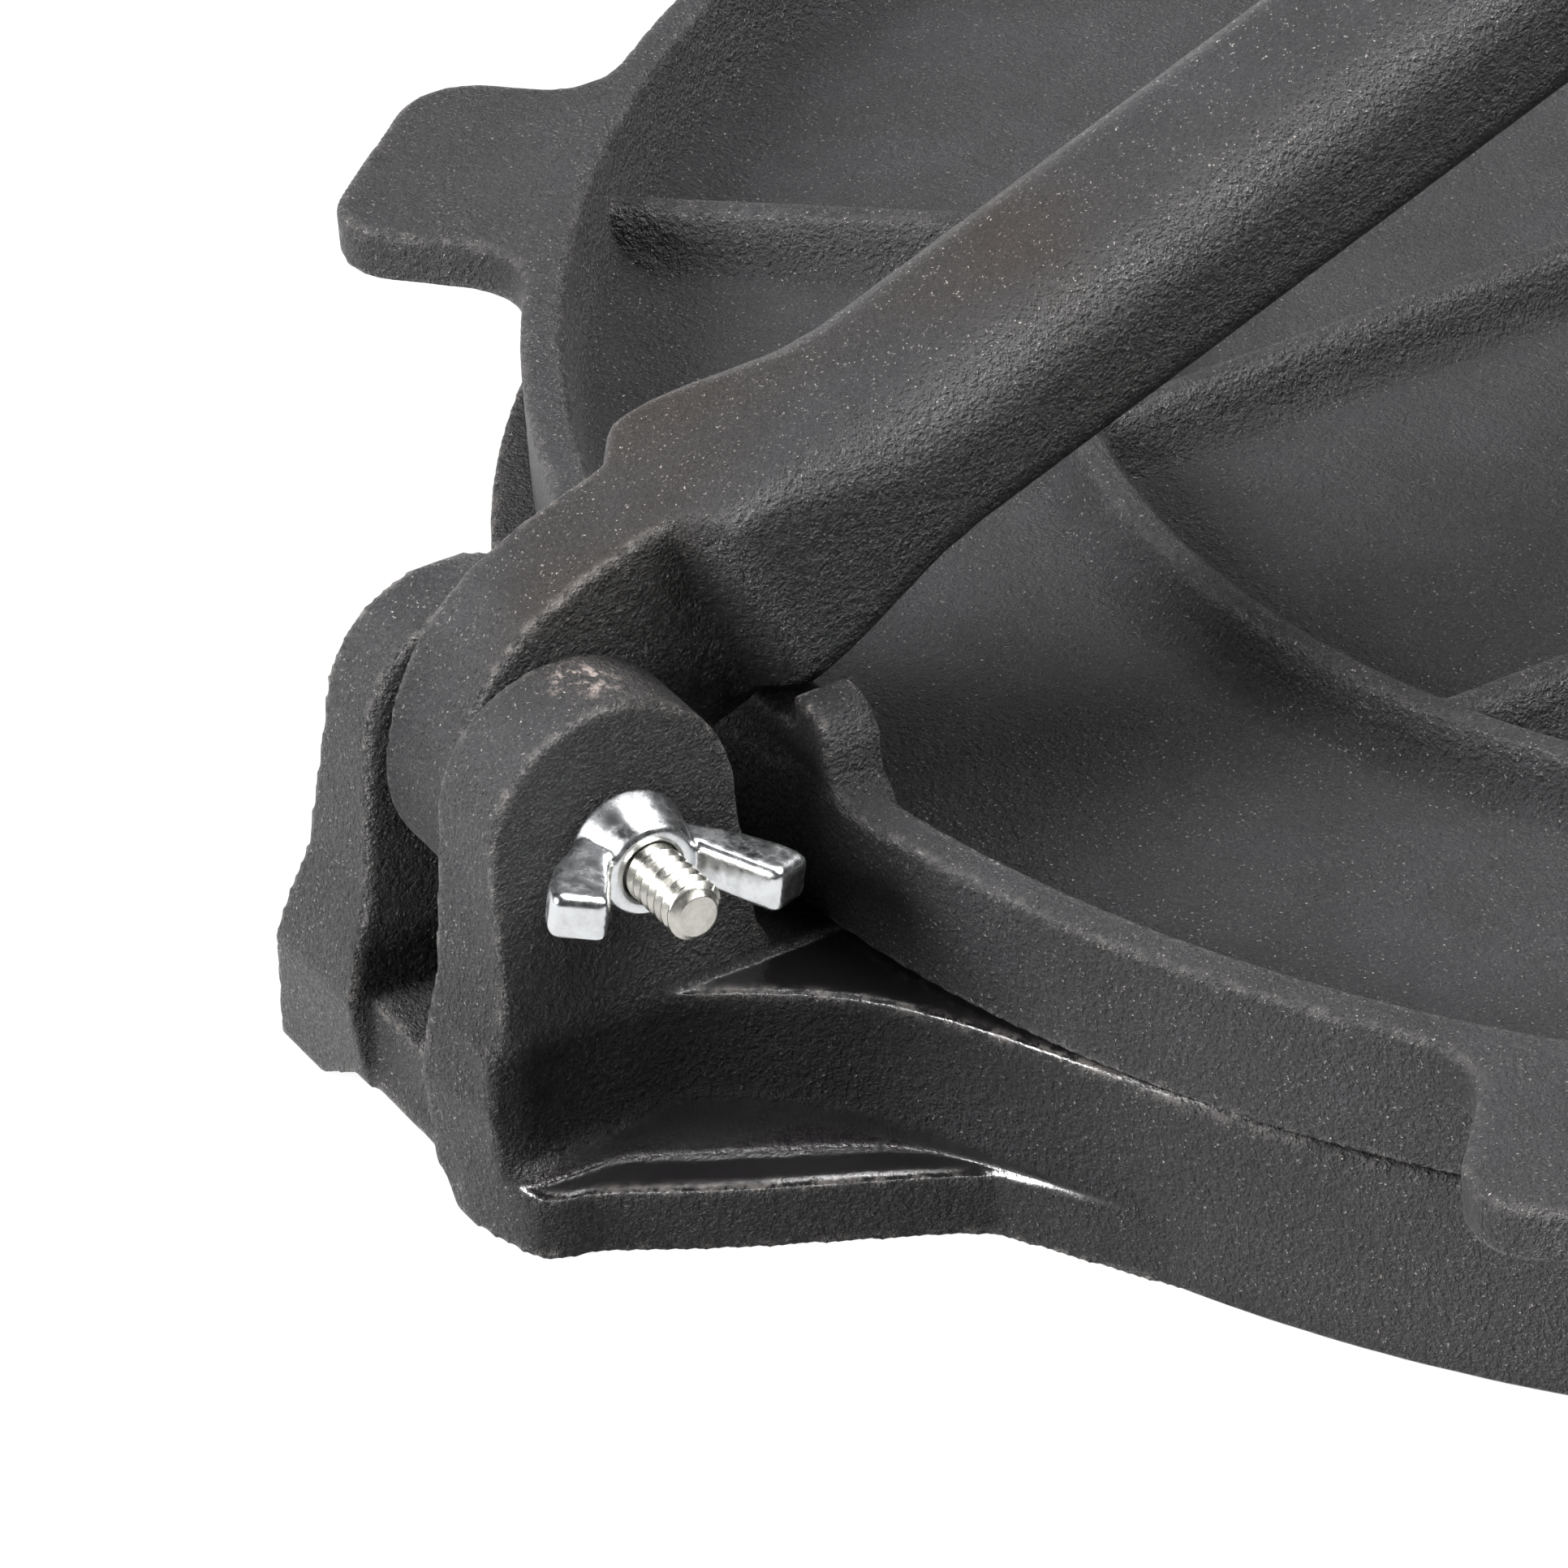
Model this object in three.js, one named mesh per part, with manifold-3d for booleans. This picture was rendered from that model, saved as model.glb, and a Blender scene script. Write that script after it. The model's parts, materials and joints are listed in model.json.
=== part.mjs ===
// Cast-iron tortilla press: round base, hinged pressing plate, cam lever and two wing-nut bolts.
// Millimetres, +Z up. Sizes along Y are measured from the plates' centre, with the lever's clevis at
// -Y, the plate hinge at +Y and the wing nuts on the +X side. At the end the whole press is moved so
// that the middle of its footprint is over the origin.
import * as THREE from 'three';
import { mergeVertices } from 'three/addons/utils/BufferGeometryUtils.js';
import Module from 'manifold-3d';

const wasm = await Module();
wasm.setup();

// Running and seating clearances
const RUN_GAP = 0.1;        // between a shaft and the hole that it turns in, on the radius
const SIDE_GAP = 0.35;      // beside a boss in its clevis
const SEAT_GAP = 0.1;       // under a nut or a bolt head
const CUT_OVER = 4;         // how far a cutter runs past the face it cuts
const SINK = 1;             // how far a joined form reaches into its neighbour

// Round plates
const PLATE_R = 127;
const BASE_H = 17.9;
const BASE_WEB = 7;
const SKIRT_W = 5;
const PARTING_GAP = 0.3;
const PLATE_H = 12;
const PLATE_WEB = 3.1;
const RIM_W = 3.6;
const EDGE_R = 0.9;
const FLOOR_FILLET = 4;

// Raised ring and ribs on the pressing plate
const RING_R = 82.3;
const RIB_W = 2.7;
const RIB_H = 5.2;
const RIB_DRAFT = 0.9;      // how much wider a rib is at its foot, on each side
const RIB_ANGLE = 42;       // degrees from the press's long axis
const CHORD_X = 27;

// Finger tabs on the rim
const TAB_T = 4.9;
const TAB_ANGLE = 41.3;
const TAB_TURN = 6.5;       // degrees between the tab's own axis and the radius
const TAB_W = 27;
const TAB_REACH = 16.2;       // tip past the plate's edge
const TAB_TIP_R = 6.4;
const TAB_ROOT_R = 7;
const TAB_EDGE = 1.1;

// Lug on the plate that the lever's cam presses
const LUG_HALF = 15.4;
const LUG_FOOT = 16.6;
const LUG_H = 6.9;          // horns above the rim
const LUG_CORNER = 3.4;
const LUG_T = 5;
const SADDLE_HALF = 10.3;
const SADDLE_H = 3.9;       // saddle above the rim

// Clevis for the lever. A reach is how far past the plates' edge, and a rise is above the base's top.
const PIVOT_REACH = 16.3;
const PIVOT_RISE = 14.2;
const CLEVIS_HALF = 14.3;
const BOSS_HALF = 5.2;
const EAR_R = 10.7;
const EAR_HEAD_REACH = 17;
const EAR_HEAD_RISE = 15.9;
const EAR_FRONT_REACH = 31.4;
const EAR_LEAN = 2.2;       // how far the ears' front leans back at the foot of their heads
const EAR_REAR_REACH = 5.4;
const EAR_ROOT_R = 3;
const EAR_EDGE = 1.3;
const SLOT_DEPTH = 5.6;     // below the base's top
const SLOT_REAR_REACH = 3.6;

// Neck and foot flange that carry the clevis
const FLANGE_H = 5.8;
const FOOT_HALF = 19;
const FOOT_FAR_HALF = 27;   // on the side away from the wing nut
const FOOT_REACH = 30.2;
const FLARE_HALF = 49.5;
const FLARE_INSET = 10.2;   // where the foot's flare ends, inside the plates' edge
const NECK_FLARE_HALF = 47;
const NECK_REACH = 29.6;
const NECK_INSET = 9.2;
const NECK_ROOT = 21;       // how far the neck's block runs in under the base
const ARCH_NEAR = 7.2;
const ARCH_FAR = 15.2;
const ARCH_TOP_NEAR = 4.9;
const ARCH_TOP_FAR = 8;
const ARCH_H = 4.2;
const ARCH_REACH = 9;

// Plate hinge at the back
const HINGE_REACH = 12;
const HINGE_RISE = 6.9;
const HINGE_HALF = 13;
const HINGE_EAR_R = 8.2;
const HINGE_BOSS_R = 7;
const HINGE_NECK_HALF = 24;
const HINGE_NECK_REACH = 21.5;
const HINGE_SLOT_REACH = 0.9;
const HINGE_SLOT_DEPTH = 1.8;
const TONGUE_ROOT = 6;      // how far the tongue runs in over the plate

// Lever, measured along its axis and across it from the pivot
const LEVER_RISE = 20.2;    // degrees above the closed plate
const LEVER_LENGTH = 262;
const LEVER_HALF = 9.6;
const LEVER_TOP = 13.2;
const LEVER_BOTTOM = -0.85;
const BARREL_R = 10.3;
const CAM_BOTTOM = -3.7;
const CAM_TOP = 15.6;
const SHOULDER_START = 15;
const SHOULDER_END = 20.6;
const CAM_END = 38;
const SHOULDER_CROWN_R = 2.2;
const CROWN_R = 5.8;
const BELLY_R = 3;
const GRIP_START = 150;
const GRIP_END_SHARE = 0.86;
const TIP_LENGTH = 9;

// Machine bolts with hexagon heads and wing nuts
const BOLT_R = 2.4;
const BOLT_END = 11.7;      // bolt's end past the clevis face
const BOLT_CHAMFER = 0.5;
const HEAD_WIDTH = 8;       // across the flats
const HEAD_H = 3.4;
const NUT_HUB_R = 5;
const NUT_TOP_R = 3.8;
const NUT_HUB_H = 4.6;
const NUT_WING_T = 3.3;
const NUT_WING_REACH = 10.3;
const NUT_WING_RISE = 11;
const NUT_WING_EDGE = 0.9;
const NUT_THREAD_GAP = 0.15;
const NUT_TURN = -11.5;     // degrees of the lever nut's wings from the long axis
const HINGE_NUT_TURN = 36;

// Facets of the round forms
const PLATE_FACETS = 96;
const EAR_FACETS = 20;
const HOLE_FACETS = 24;
const EDGE_FACETS = 2;

const PLATE_Z = BASE_H + PARTING_GAP;
const PLATE_TOP = PLATE_Z + PLATE_H;
const FLOOR_Z = PLATE_Z + PLATE_WEB;
const HOLE_R = BOLT_R + RUN_GAP;
const SLOT_HALF = BOSS_HALF + SIDE_GAP;
const PIVOT_Y = -PLATE_R - PIVOT_REACH;
const PIVOT_Z = BASE_H + PIVOT_RISE;
const EAR_HEAD_Y = -PLATE_R - EAR_HEAD_REACH;
const EAR_HEAD_Z = BASE_H + EAR_HEAD_RISE;
const EAR_FRONT_Y = -PLATE_R - EAR_FRONT_REACH;
const EAR_REAR_Y = -PLATE_R - EAR_REAR_REACH;
const SLOT_FLOOR = BASE_H - SLOT_DEPTH;
const SLOT_REAR_Y = -PLATE_R - SLOT_REAR_REACH;
const FOOT_Y = -PLATE_R - FOOT_REACH;
const FLARE_Y = FLARE_INSET - PLATE_R;
const NECK_FRONT_Y = -PLATE_R - NECK_REACH;
const NECK_FLARE_Y = NECK_INSET - PLATE_R;
const NECK_INNER_Y = NECK_ROOT - PLATE_R;
const ARCH_REAR_Y = -PLATE_R - ARCH_REACH;
const HINGE_Y = PLATE_R + HINGE_REACH;
const HINGE_Z = BASE_H + HINGE_RISE;
const HINGE_NECK_END = PLATE_R + HINGE_NECK_REACH;
const HINGE_SLOT_Y = PLATE_R + HINGE_SLOT_REACH;
const HINGE_SLOT_FLOOR = BASE_H - HINGE_SLOT_DEPTH;
const rad = THREE.MathUtils.degToRad;

// Joins and cuts

function toSolid(geometry) {
  const bare = geometry.clone();
  bare.deleteAttribute('normal');
  bare.deleteAttribute('uv');
  const merged = mergeVertices(bare, 1e-4);
  return new wasm.Manifold(new wasm.Mesh({
    numProp: 3,
    vertProperties: new Float32Array(merged.attributes.position.array),
    triVerts: new Uint32Array(merged.index.array),
  }));
}

function toGeometry(solid) {
  const mesh = solid.getMesh();
  const geometry = new THREE.BufferGeometry();
  const spots = new Float32Array(mesh.numVert * 3);
  for (let i = 0; i < mesh.numVert; i++) {
    for (let k = 0; k < 3; k++) spots[3 * i + k] = mesh.vertProperties[mesh.numProp * i + k];
  }
  geometry.setAttribute('position', new THREE.BufferAttribute(spots, 3));
  geometry.setIndex(new THREE.BufferAttribute(new Uint32Array(mesh.triVerts), 1));
  const flat = geometry.toNonIndexed();
  flat.computeVertexNormals();
  return flat;
}

function join(...geometries) {
  return geometries.map(toSolid).reduce((whole, next) => whole.add(next));
}

function cut(solid, ...cutters) {
  return cutters.map(toSolid).reduce((whole, next) => whole.subtract(next), solid);
}

// Outlines and the solids made from them

function outline(points) {
  return new THREE.Shape(points.map(([a, b]) => new THREE.Vector2(a, b)));
}

function arcPoints(ca, cb, r, from, to, steps = EAR_FACETS) {
  const points = [];
  for (let i = 0; i <= steps; i++) {
    const t = rad(from + (to - from) * i / steps);
    points.push([ca + r * Math.cos(t), cb + r * Math.sin(t)]);
  }
  return points;
}

function slab(points, from, to, edge = 0) {
  return new THREE.ExtrudeGeometry(outline(points), {
    depth: to - from - 2 * edge,
    bevelEnabled: edge > 0,
    bevelThickness: edge,
    bevelSize: edge,
    bevelOffset: -edge,
    bevelSegments: EDGE_FACETS,
    curveSegments: EAR_FACETS,
  }).translate(0, 0, from + edge);
}

// An outline of [y, z] points drawn out along X.
function slabX(points, from, to, edge = 0) {
  const toX = new THREE.Matrix4().makeBasis(
    new THREE.Vector3(0, 1, 0), new THREE.Vector3(0, 0, 1), new THREE.Vector3(1, 0, 0));
  return slab(points, from, to, edge).applyMatrix4(toX);
}

// An outline of [x, z] points drawn out along Y.
function slabY(points, from, to, edge = 0) {
  return slab(points, -to, -from, edge).rotateX(Math.PI / 2);
}

function boxBetween(low, high) {
  const size = high.map((value, k) => value - low[k]);
  return new THREE.BoxGeometry(...size).translate(...low.map((value, k) => value + size[k] / 2));
}

function rodX(r, from, to, y, z, facets = HOLE_FACETS) {
  return new THREE.CylinderGeometry(r, r, to - from, facets)
    .rotateZ(-Math.PI / 2).translate((from + to) / 2, y, z);
}

function turned(points, facets = PLATE_FACETS) {
  return new THREE.LatheGeometry(points.map(([r, z]) => new THREE.Vector2(r, z)), facets)
    .rotateX(Math.PI / 2);
}

// A skin over rings of points, closed at both ends by a fan from each end ring's middle.
function loft(rings) {
  const count = rings[0].length;
  const middle = (ring) => ring.reduce((sum, p) => sum.add(p), new THREE.Vector3())
    .divideScalar(count);
  const spots = [...rings.flat(), middle(rings[0]), middle(rings.at(-1))];
  const last = (rings.length - 1) * count;
  const faces = [];
  for (let i = 0; i < count; i++) {
    const j = (i + 1) % count;
    for (let k = 0; k < last; k += count) {
      faces.push(k + i, k + j, k + count + j, k + i, k + count + j, k + count + i);
    }
    faces.push(spots.length - 2, j, i, spots.length - 1, last + i, last + j);
  }
  const geometry = new THREE.BufferGeometry().setFromPoints(spots);
  geometry.setIndex(faces);
  return geometry;
}

const ease = (from, to, value) => THREE.MathUtils.smoothstep(value, from, to);
const blend = (a, b, share) => a + (b - a) * share;

// Neck and foot flange in front. The flange's outline and the narrower neck's are tables of shares, a
// row for each station: across it from the foot's half width to the flare's, or below zero how much
// narrower than the foot it is, and along it from the front to where the flare ends.
const FLANGE_SHARES = [
  [-0.5, 0], [-0.37, 0.01], [-0.17, 0.05], [-0.06, 0.105], [0, 0.155],
  [0.2, 0.39], [0.47, 0.75], [0.59, 0.83], [0.77, 0.905], [1, 1],
];
const NECK_SHARES = [
  [-0.5, 0], [-0.09, 0], [0, 0.03], [0, 0.16], [0, 0.33],
  [0.03, 0.42], [0.15, 0.567], [0.315, 0.711], [0.572, 0.84], [1, 1],
];
const LEVEL_SHARES = [0, 0.12, 0.29, 0.5, 0.75, 1];

function neckSide(footHalf, neckShare) {
  const station = ([across, along], inner, outer, front, back) => [
    across < 0 ? inner * (1 + across) : blend(inner, outer, across), blend(front, back, along),
  ];
  const points = FLANGE_SHARES.map((shares, i) => {
    const foot = station(shares, footHalf, FLARE_HALF, FOOT_Y, FLARE_Y);
    const neck = station(NECK_SHARES[i], CLEVIS_HALF, NECK_FLARE_HALF, NECK_FRONT_Y, NECK_FLARE_Y);
    return [blend(foot[0], neck[0], neckShare), blend(foot[1], neck[1], neckShare)];
  });
  return [...points, [points.at(-1)[0], NECK_INNER_Y]];
}

function neckRing(height, neckShare) {
  const near = neckSide(FOOT_HALF, neckShare);
  const far = neckSide(FOOT_FAR_HALF, neckShare).map(([x, y]) => [-x, y]).reverse();
  return [...near, ...far].map(([x, y]) => new THREE.Vector3(x, y, height));
}

function frontNeck() {
  const rings = [neckRing(0, 0)];
  for (const share of LEVEL_SHARES) {
    rings.push(neckRing(blend(FLANGE_H, BASE_H, share), Math.sin(share * Math.PI / 2)));
  }
  return loft(rings);
}

function clevisBlock() {
  const lean = EAR_REAR_Y - SLOT_REAR_Y;
  const points = [
    [EAR_FRONT_Y, SLOT_FLOOR],
    [FOOT_Y, 0],
    [SLOT_REAR_Y, 0],
    [SLOT_REAR_Y, BASE_H],
    [EAR_REAR_Y - lean / 4, BASE_H + EAR_ROOT_R / 3],
    [EAR_REAR_Y, BASE_H + EAR_ROOT_R],
    ...arcPoints(EAR_HEAD_Y, EAR_HEAD_Z, EAR_R, -4, 170),
    [EAR_FRONT_Y + EAR_LEAN, BASE_H + EAR_ROOT_R],
  ];
  return slabX(points, -CLEVIS_HALF, CLEVIS_HALF, EAR_EDGE);
}

function rearNeck() {
  const half = HINGE_HALF;
  const points = [
    [HINGE_NECK_HALF, PLATE_R - SKIRT_W], [half, HINGE_Y], [half, HINGE_NECK_END],
    [-half, HINGE_NECK_END], [-half, HINGE_Y], [-HINGE_NECK_HALF, PLATE_R - SKIRT_W],
  ];
  return slab(points, 0, BASE_H);
}

function rearEars() {
  const points = [
    [HINGE_Y - HINGE_EAR_R, BASE_H - SINK],
    [HINGE_NECK_END, BASE_H - SINK],
    ...arcPoints(HINGE_Y, HINGE_Z, HINGE_EAR_R, 0, 180),
  ];
  return slabX(points, -HINGE_HALF, HINGE_HALF, EAR_EDGE);
}

function ribSection(foot, top) {
  const half = RIB_W / 2;
  return [
    [-half - RIB_DRAFT, foot], [half + RIB_DRAFT, foot], [half, top - EDGE_R / 2],
    [half - EDGE_R / 2, top], [-half + EDGE_R / 2, top], [-half, top - EDGE_R / 2],
  ];
}

function radialRib(angle, from, to, foot, top) {
  return slabY(ribSection(foot, top), from, to).rotateZ(rad(angle));
}

const RIB_TURNS = [180 - RIB_ANGLE, 180 + RIB_ANGLE, RIB_ANGLE, -RIB_ANGLE];

function ribRing(foot, top) {
  const points = ribSection(foot, top).map(([across, z]) => [RING_R + across, z]);
  return turned([...points, points[0]]);
}

function baseDisc() {
  const inner = PLATE_R - SKIRT_W;
  const roof = BASE_H - BASE_WEB;
  return turned([
    [0, roof], [inner - FLOOR_FILLET, roof], [inner - FLOOR_FILLET / 4, roof - FLOOR_FILLET / 3],
    [inner, roof - FLOOR_FILLET], [inner + EDGE_R / 2, 0], [PLATE_R - EDGE_R / 3, 0],
    [PLATE_R, EDGE_R / 3], [PLATE_R, BASE_H - EDGE_R / 2],
    [PLATE_R - EDGE_R / 2, BASE_H], [0, BASE_H],
  ]);
}

function baseCasting() {
  const roof = BASE_H - BASE_WEB + SINK;
  const skirt = PLATE_R - SKIRT_W / 2;
  const whole = join(
    baseDisc(), frontNeck(), clevisBlock(), rearNeck(), rearEars(),
    ...RIB_TURNS.map((turn) => slabY([
      [-RIB_W, ARCH_H], [RIB_W, ARCH_H], [RIB_W, roof], [-RIB_W, roof],
    ], 0, skirt).rotateZ(rad(turn))),
  );
  const high = EAR_HEAD_Z + EAR_R + CUT_OVER;
  return cut(
    whole,
    boxBetween([-SLOT_HALF, EAR_FRONT_Y - CUT_OVER, SLOT_FLOOR], [SLOT_HALF, SLOT_REAR_Y, high]),
    boxBetween([-SLOT_HALF, HINGE_SLOT_Y, HINGE_SLOT_FLOOR],
      [SLOT_HALF, HINGE_NECK_END + CUT_OVER, high]),
    rodX(HOLE_R, -CLEVIS_HALF - CUT_OVER, CLEVIS_HALF + CUT_OVER, PIVOT_Y, PIVOT_Z),
    rodX(HOLE_R, -HINGE_HALF - CUT_OVER, HINGE_HALF + CUT_OVER, HINGE_Y, HINGE_Z),
    slabY([
      [-ARCH_FAR, -CUT_OVER], [ARCH_NEAR, -CUT_OVER], [ARCH_NEAR, 0],
      [ARCH_TOP_NEAR, ARCH_H], [-ARCH_TOP_FAR, ARCH_H], [-ARCH_FAR, 0],
    ], EAR_FRONT_Y - CUT_OVER, ARCH_REAR_Y),
  );
}

// Pressing plate

function plateDisc() {
  const inner = PLATE_R - RIM_W;
  return turned([
    [0, PLATE_Z], [PLATE_R - EDGE_R / 2, PLATE_Z], [PLATE_R, PLATE_Z + EDGE_R / 2],
    [PLATE_R, PLATE_TOP - EDGE_R], [PLATE_R - EDGE_R / 3, PLATE_TOP - EDGE_R / 3],
    [PLATE_R - EDGE_R, PLATE_TOP], [inner, PLATE_TOP], [inner - EDGE_R / 2, PLATE_TOP - EDGE_R / 2],
    [inner - EDGE_R, FLOOR_Z + FLOOR_FILLET], [inner - FLOOR_FILLET / 2, FLOOR_Z + FLOOR_FILLET / 3],
    [inner - EDGE_R - FLOOR_FILLET, FLOOR_Z], [0, FLOOR_Z],
  ]);
}

// A finger tab. Its outline is drawn with the tab's own axis on +X, from inside the rim to the tip and
// rounded into the plate's edge at the root, and then turned into place.
function fingerTab(side) {
  const half = TAB_W / 2;
  const tip = PLATE_R + TAB_REACH;
  const swing = side * PLATE_R * Math.sin(rad(TAB_TURN));
  const wide = half + TAB_ROOT_R;
  const edgeAt = (r, y) => [Math.sqrt(r ** 2 - (y - swing) ** 2), y];
  const root = (y, start) => {
    const [reach] = edgeAt(PLATE_R, y);
    return new THREE.QuadraticBezierCurve(
      new THREE.Vector2(...edgeAt(PLATE_R, start)), new THREE.Vector2(reach, y),
      new THREE.Vector2(reach + TAB_ROOT_R, y),
    ).getPoints(2 * EDGE_FACETS).map((p) => p.toArray());
  };
  const points = [
    ...[1, 0.5, 0, -0.5, -1].map((share) => edgeAt(PLATE_R - RIM_W + EDGE_R / 4, share * wide)),
    ...root(-half, -wide),
    ...arcPoints(tip - TAB_TIP_R, TAB_TIP_R - half, TAB_TIP_R, -90, 0, 2 * EDGE_FACETS),
    ...arcPoints(tip - TAB_TIP_R, half - TAB_TIP_R, TAB_TIP_R, 0, 90, 2 * EDGE_FACETS),
    ...root(half, wide).reverse(),
  ];
  return slab(points, PLATE_TOP - TAB_T, PLATE_TOP, TAB_EDGE)
    .translate(0, -swing, 0).rotateZ(rad(-90 + side * (TAB_ANGLE + TAB_TURN)));
}

function camLug() {
  const foot = PLATE_TOP - RIB_H;
  const horn = PLATE_TOP + LUG_H;
  const right = [
    [LUG_FOOT, foot], [LUG_FOOT, PLATE_TOP - SINK / 2], [LUG_HALF + SINK, PLATE_TOP + SINK / 2],
    [LUG_HALF, PLATE_TOP + LUG_H / 3], [LUG_HALF, horn - LUG_CORNER * 0.6],
    [LUG_HALF - LUG_CORNER * 0.35, horn - LUG_CORNER * 0.15], [LUG_HALF - LUG_CORNER, horn],
    [SADDLE_HALF + SIDE_GAP, horn], [SADDLE_HALF, horn - SIDE_GAP],
    [SADDLE_HALF, PLATE_TOP + SADDLE_H],
  ];
  const left = right.map(([x, z]) => [-x, z]).reverse();
  const front = -Math.sqrt(PLATE_R ** 2 - LUG_FOOT ** 2);
  return slabY([...right, ...left], front, front + LUG_T, EDGE_R / 2);
}

function hingeTongue() {
  const points = [
    [PLATE_R - TONGUE_ROOT, PLATE_Z + SINK],
    [PLATE_R, PLATE_Z + SINK],
    ...arcPoints(HINGE_Y, HINGE_Z, HINGE_BOSS_R, -120, 110),
    [PLATE_R, PLATE_TOP - EDGE_R],
    [PLATE_R - TONGUE_ROOT, PLATE_TOP - EDGE_R],
  ];
  return slabX(points, -BOSS_HALF, BOSS_HALF, EDGE_R / 2);
}

function pressPlate() {
  const ribTop = FLOOR_Z + RIB_H;
  const foot = FLOOR_Z - SINK;
  const chord = Math.sqrt(RING_R ** 2 - CHORD_X ** 2);
  const whole = join(
    plateDisc(), ribRing(foot, ribTop), camLug(), hingeTongue(), fingerTab(1), fingerTab(-1),
    ...RIB_TURNS.map((turn) => radialRib(turn, RING_R, PLATE_R - RIM_W / 2, foot, ribTop)),
    ...[-CHORD_X, CHORD_X].map((x) => slabY(ribSection(foot, ribTop), -chord, chord)
      .translate(x, 0, 0)),
  );
  return cut(whole, rodX(HOLE_R, -CLEVIS_HALF, CLEVIS_HALF, HINGE_Y, HINGE_Z));
}

// Lever: outlines are [along, across] from the pivot, turned up by the lever's rise.

function placeLever(geometry) {
  return geometry.rotateX(rad(LEVER_RISE)).translate(0, PIVOT_Y, PIVOT_Z);
}

function leverBoss() {
  const points = [
    ...arcPoints(0, 0, BARREL_R, 338, 148),
    [-BARREL_R * 0.6, BARREL_R * 0.88],
    [-BARREL_R * 0.36, BARREL_R * 1.1],
    [-BARREL_R * 0.08, CAM_TOP * 0.86],
    [BARREL_R * 0.38, CAM_TOP * 0.965],
    [BARREL_R * 0.9, CAM_TOP],
    [SHOULDER_END, CAM_TOP - EDGE_R / 2],
    [SHOULDER_END, CAM_BOTTOM],
  ];
  return slabX(points.reverse(), -BOSS_HALF, BOSS_HALF, EDGE_R);
}

function leverTop(along) {
  return blend(CAM_TOP, LEVER_TOP, ease(SHOULDER_END, CAM_END, along));
}

function leverBottom(along) {
  return blend(CAM_BOTTOM, LEVER_BOTTOM, ease(SHOULDER_END, CAM_END, along));
}

const ARM_STATIONS = [
  SHOULDER_START, blend(SHOULDER_START, SHOULDER_END, 0.3), blend(SHOULDER_START, SHOULDER_END, 0.5),
  blend(SHOULDER_START, SHOULDER_END, 0.7), SHOULDER_END, blend(SHOULDER_END, CAM_END, 0.25),
  blend(SHOULDER_END, CAM_END, 0.5), blend(SHOULDER_END, CAM_END, 0.75), CAM_END,
  blend(CAM_END, GRIP_START, 0.5), GRIP_START, blend(GRIP_START, LEVER_LENGTH, 0.5),
  LEVER_LENGTH - TIP_LENGTH, LEVER_LENGTH - TIP_LENGTH * 0.5, LEVER_LENGTH - TIP_LENGTH * 0.2,
  LEVER_LENGTH - TIP_LENGTH * 0.03,
];

function armRing(along) {
  const shoulder = ease(SHOULDER_START, SHOULDER_END, along);
  const grip = blend(1, GRIP_END_SHARE, ease(GRIP_START, LEVER_LENGTH, along));
  const past = Math.max(0, (along - LEVER_LENGTH + TIP_LENGTH) / TIP_LENGTH);
  const tip = Math.sqrt(Math.max(0, 1 - past ** 2));
  const half = blend(BOSS_HALF - EDGE_R, LEVER_HALF, shoulder) * grip * blend(0.45, 1, tip);
  const middle = (leverTop(along) + leverBottom(along)) / 2;
  const rise = (leverTop(along) - middle) * grip * blend(0.3, 1, tip);
  const round = blend(SHOULDER_CROWN_R, CROWN_R, ease(SHOULDER_END, CAM_END, along));
  const crown = Math.min(round, half * 0.75, rise);
  const belly = Math.min(BELLY_R, half * 0.6, rise * 0.6);
  const low = middle - rise;
  const high = middle + rise;
  const corner = (x, z, r, from) => arcPoints(x, z, r, from, from + 90, 4);
  return [
    ...corner(half - belly, low + belly, belly, -90),
    ...corner(half - crown, high - crown, crown, 0),
    ...corner(crown - half, high - crown, crown, 90),
    ...corner(belly - half, low + belly, belly, 180),
  ].map(([x, z]) => new THREE.Vector3(-x, along, z));
}

function lever() {
  const arm = loft(ARM_STATIONS.map(armRing));
  const whole = join(placeLever(leverBoss()), placeLever(arm));
  return cut(whole, rodX(HOLE_R, -CLEVIS_HALF, CLEVIS_HALF, PIVOT_Y, PIVOT_Z));
}

// Bolts and wing nuts, along X from the clevis's outer face

function bolt(half, y, z) {
  const head = new THREE.CylinderGeometry(
    HEAD_WIDTH / Math.sqrt(3), HEAD_WIDTH / Math.sqrt(3), HEAD_H, 6)
    .rotateZ(-Math.PI / 2).translate(-half - SEAT_GAP - HEAD_H / 2, 0, 0);
  const end = half + BOLT_END;
  const shank = rodX(BOLT_R, -half - SEAT_GAP - SINK, end - BOLT_CHAMFER, 0, 0);
  const point = new THREE.CylinderGeometry(
    BOLT_R - BOLT_CHAMFER, BOLT_R, BOLT_CHAMFER, HOLE_FACETS)
    .rotateZ(-Math.PI / 2).translate(end - BOLT_CHAMFER / 2, 0, 0);
  return join(head, shank, point).translate([0, y, z]);
}

function nutWing(side) {
  const reach = NUT_WING_REACH;
  const rise = NUT_WING_RISE;
  const points = [
    [NUT_HUB_R * 0.62, NUT_HUB_H * 0.14],
    [NUT_HUB_R * 0.98, NUT_HUB_H * 0.14],
    [reach * 0.72, rise * 0.36],
    [reach, rise * 0.62],
    [reach, rise * 0.93],
    [reach * 0.92, rise],
    [reach * 0.7, rise * 0.93],
    [reach * 0.5, rise * 0.56],
    [NUT_TOP_R, NUT_HUB_H * 0.94],
    [NUT_HUB_R * 0.62, NUT_HUB_H * 0.9],
  ];
  const blade = slab(points, -NUT_WING_T / 2, NUT_WING_T / 2, NUT_WING_EDGE);
  return side > 0 ? blade : blade.rotateY(Math.PI);
}

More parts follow.
